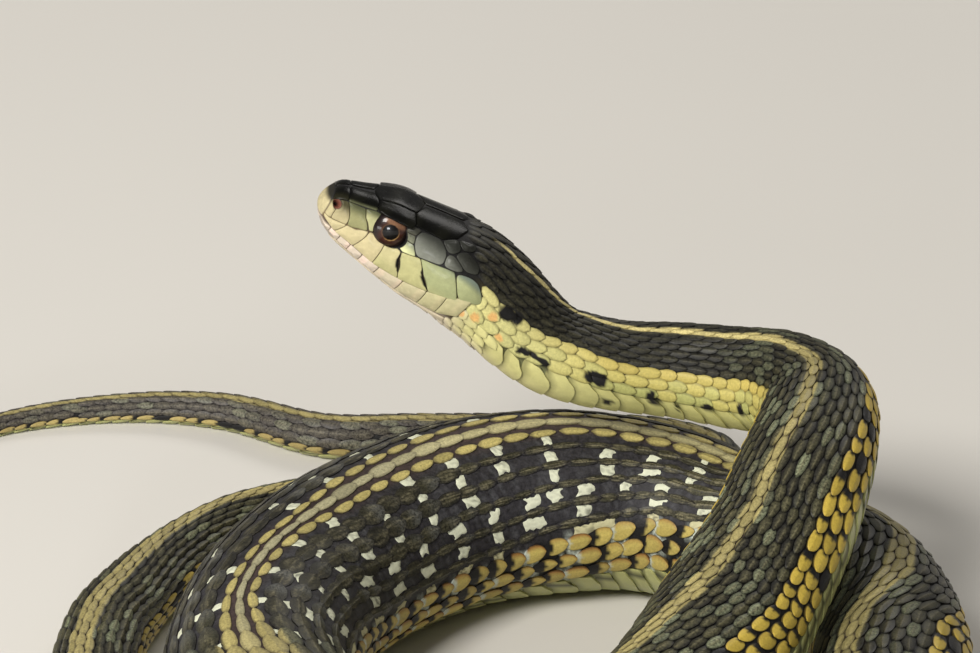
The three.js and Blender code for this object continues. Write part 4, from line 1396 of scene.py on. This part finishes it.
def make_eye(name, sign):
    rings, around, cover = 56, 96, math.radians(128)
    polar = np.linspace(0, cover, rings)[1:]
    p, q = np.meshgrid(polar, np.arange(around) * 2 * math.pi / around, indexing="ij")
    x = np.append((np.sin(p) * np.cos(q)).ravel(), 0)
    y = np.append((np.sin(p) * np.sin(q)).ravel(), 0)
    z = np.append(np.cos(p).ravel(), 1)
    out, up = z * EYE["depth"], y * EYE["radius"]
    cos, sin = math.cos(EYE["tilt"]), math.sin(EYE["tilt"])
    points = on_head(
        EYE["back"] + x * EYE["radius"],
        EYE["height"] + up * cos + out * sin,
        sign * (EYE["side"] + out * cos - up * sin),
    )
    j, middle = np.arange(around), (rings - 1) * around
    tris = mirrored(np.stack([np.full(around, middle), (j + 1) % around, j], -1), sign)
    quads = mirrored(grid_faces(rings - 1, around, True), sign)
    uv = np.stack([0.66 + 0.1 * (sign > 0) + x * 0.045, 0.6 + y * 0.045], -1)
    return make_mesh(name, EYE_WET, points, quads, tris, eye_colour(x, y), uv)


eyes = {"eye_left": make_eye("eye_left_ball", 1), "eye_right": make_eye("eye_right_ball", -1)}


flesh = [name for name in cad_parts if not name.startswith("eye")]
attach(skin, "root")
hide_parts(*flesh)
for piece in coat:
    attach(piece, "root")
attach(shields, "root")
for name, ball in eyes.items():
    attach(ball, "root")
    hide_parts(name)


def floor_material():
    material, tree, shader = new_material("floor")
    cloud = node(tree, "ShaderNodeTexNoise", [("Scale", 40), ("Detail", 4)]).outputs["Fac"]
    tone = node(tree, "ShaderNodeMapRange", [("Value", cloud), ("To Min", 0.96), ("To Max", 1.04)])
    pale = scaled(tree, (0.62, 0.6, 0.56), tone.outputs["Result"])
    fill(tree, shader, [("Base Color", pale), ("Roughness", 0.85)])
    return material


bpy.ops.mesh.primitive_plane_add(size=6, location=(0, 0, 0))
floor = bpy.context.object
floor.name = "floor"
floor.data.materials.append(floor_material())


def area_light(name, place, target, size, watts, colour):
    data = bpy.data.lights.new(name, "AREA")
    data.shape = "RECTANGLE"
    data.size, data.size_y = size
    data.energy = watts
    data.color = colour
    light = bpy.data.objects.new(name, data)
    light.location = place
    light.rotation_mode = "QUATERNION"
    light.rotation_quaternion = (Vector(target) - Vector(place)).to_track_quat("-Z", "Y")
    bpy.context.scene.collection.objects.link(light)


area_light("key", (-0.33, -0.44, 0.6), (0, 0, 0.02), (0.3, 0.26), 7.3, (1, 0.97, 0.92))
area_light("front", (-0.09, -0.62, 0.11), (-0.02, 0, 0.04), (0.11, 0.08), 1.1, (0.95, 0.97, 1))
area_light("fill", (-0.5, -0.36, 0.08), (-0.02, 0, 0.04), (0.3, 0.12), 0.9, (1, 0.98, 0.94))
area_light("back", (0.35, 0.6, 0.6), (0, 0, 0.03), (0.4, 0.3), 2.3, (1, 0.97, 0.93))

world = bpy.data.worlds.new("studio")
world.use_nodes = True
world.node_tree.nodes["Background"].inputs["Color"].default_value = (1, 0.98, 0.95, 1)
world.node_tree.nodes["Background"].inputs["Strength"].default_value = 0.22
bpy.context.scene.world = world
bpy.context.scene.view_settings.view_transform = "Standard"

# The photo's camera
ELEVATION = math.radians(27)
DISTANCE = 0.595
TARGET = Vector((0.01098, 0.02015, 0.03026))
SENSOR_WIDTH = 36
FOCAL_PIXELS, PHOTO_WIDTH = 5950, 980
view_back = Vector((0, -math.cos(ELEVATION), math.sin(ELEVATION)))
camera_data = bpy.data.cameras.new("camera")
camera_data.sensor_width = SENSOR_WIDTH
camera_data.lens = SENSOR_WIDTH * FOCAL_PIXELS / PHOTO_WIDTH
camera_data.clip_start = 0.01
camera_data.clip_end = 20
camera = bpy.data.objects.new("camera", camera_data)
camera.location = TARGET + view_back * DISTANCE
camera.rotation_mode = "QUATERNION"
camera.rotation_quaternion = (-view_back).to_track_quat("-Z", "Y")
bpy.context.scene.collection.objects.link(camera)
bpy.context.scene.camera = camera
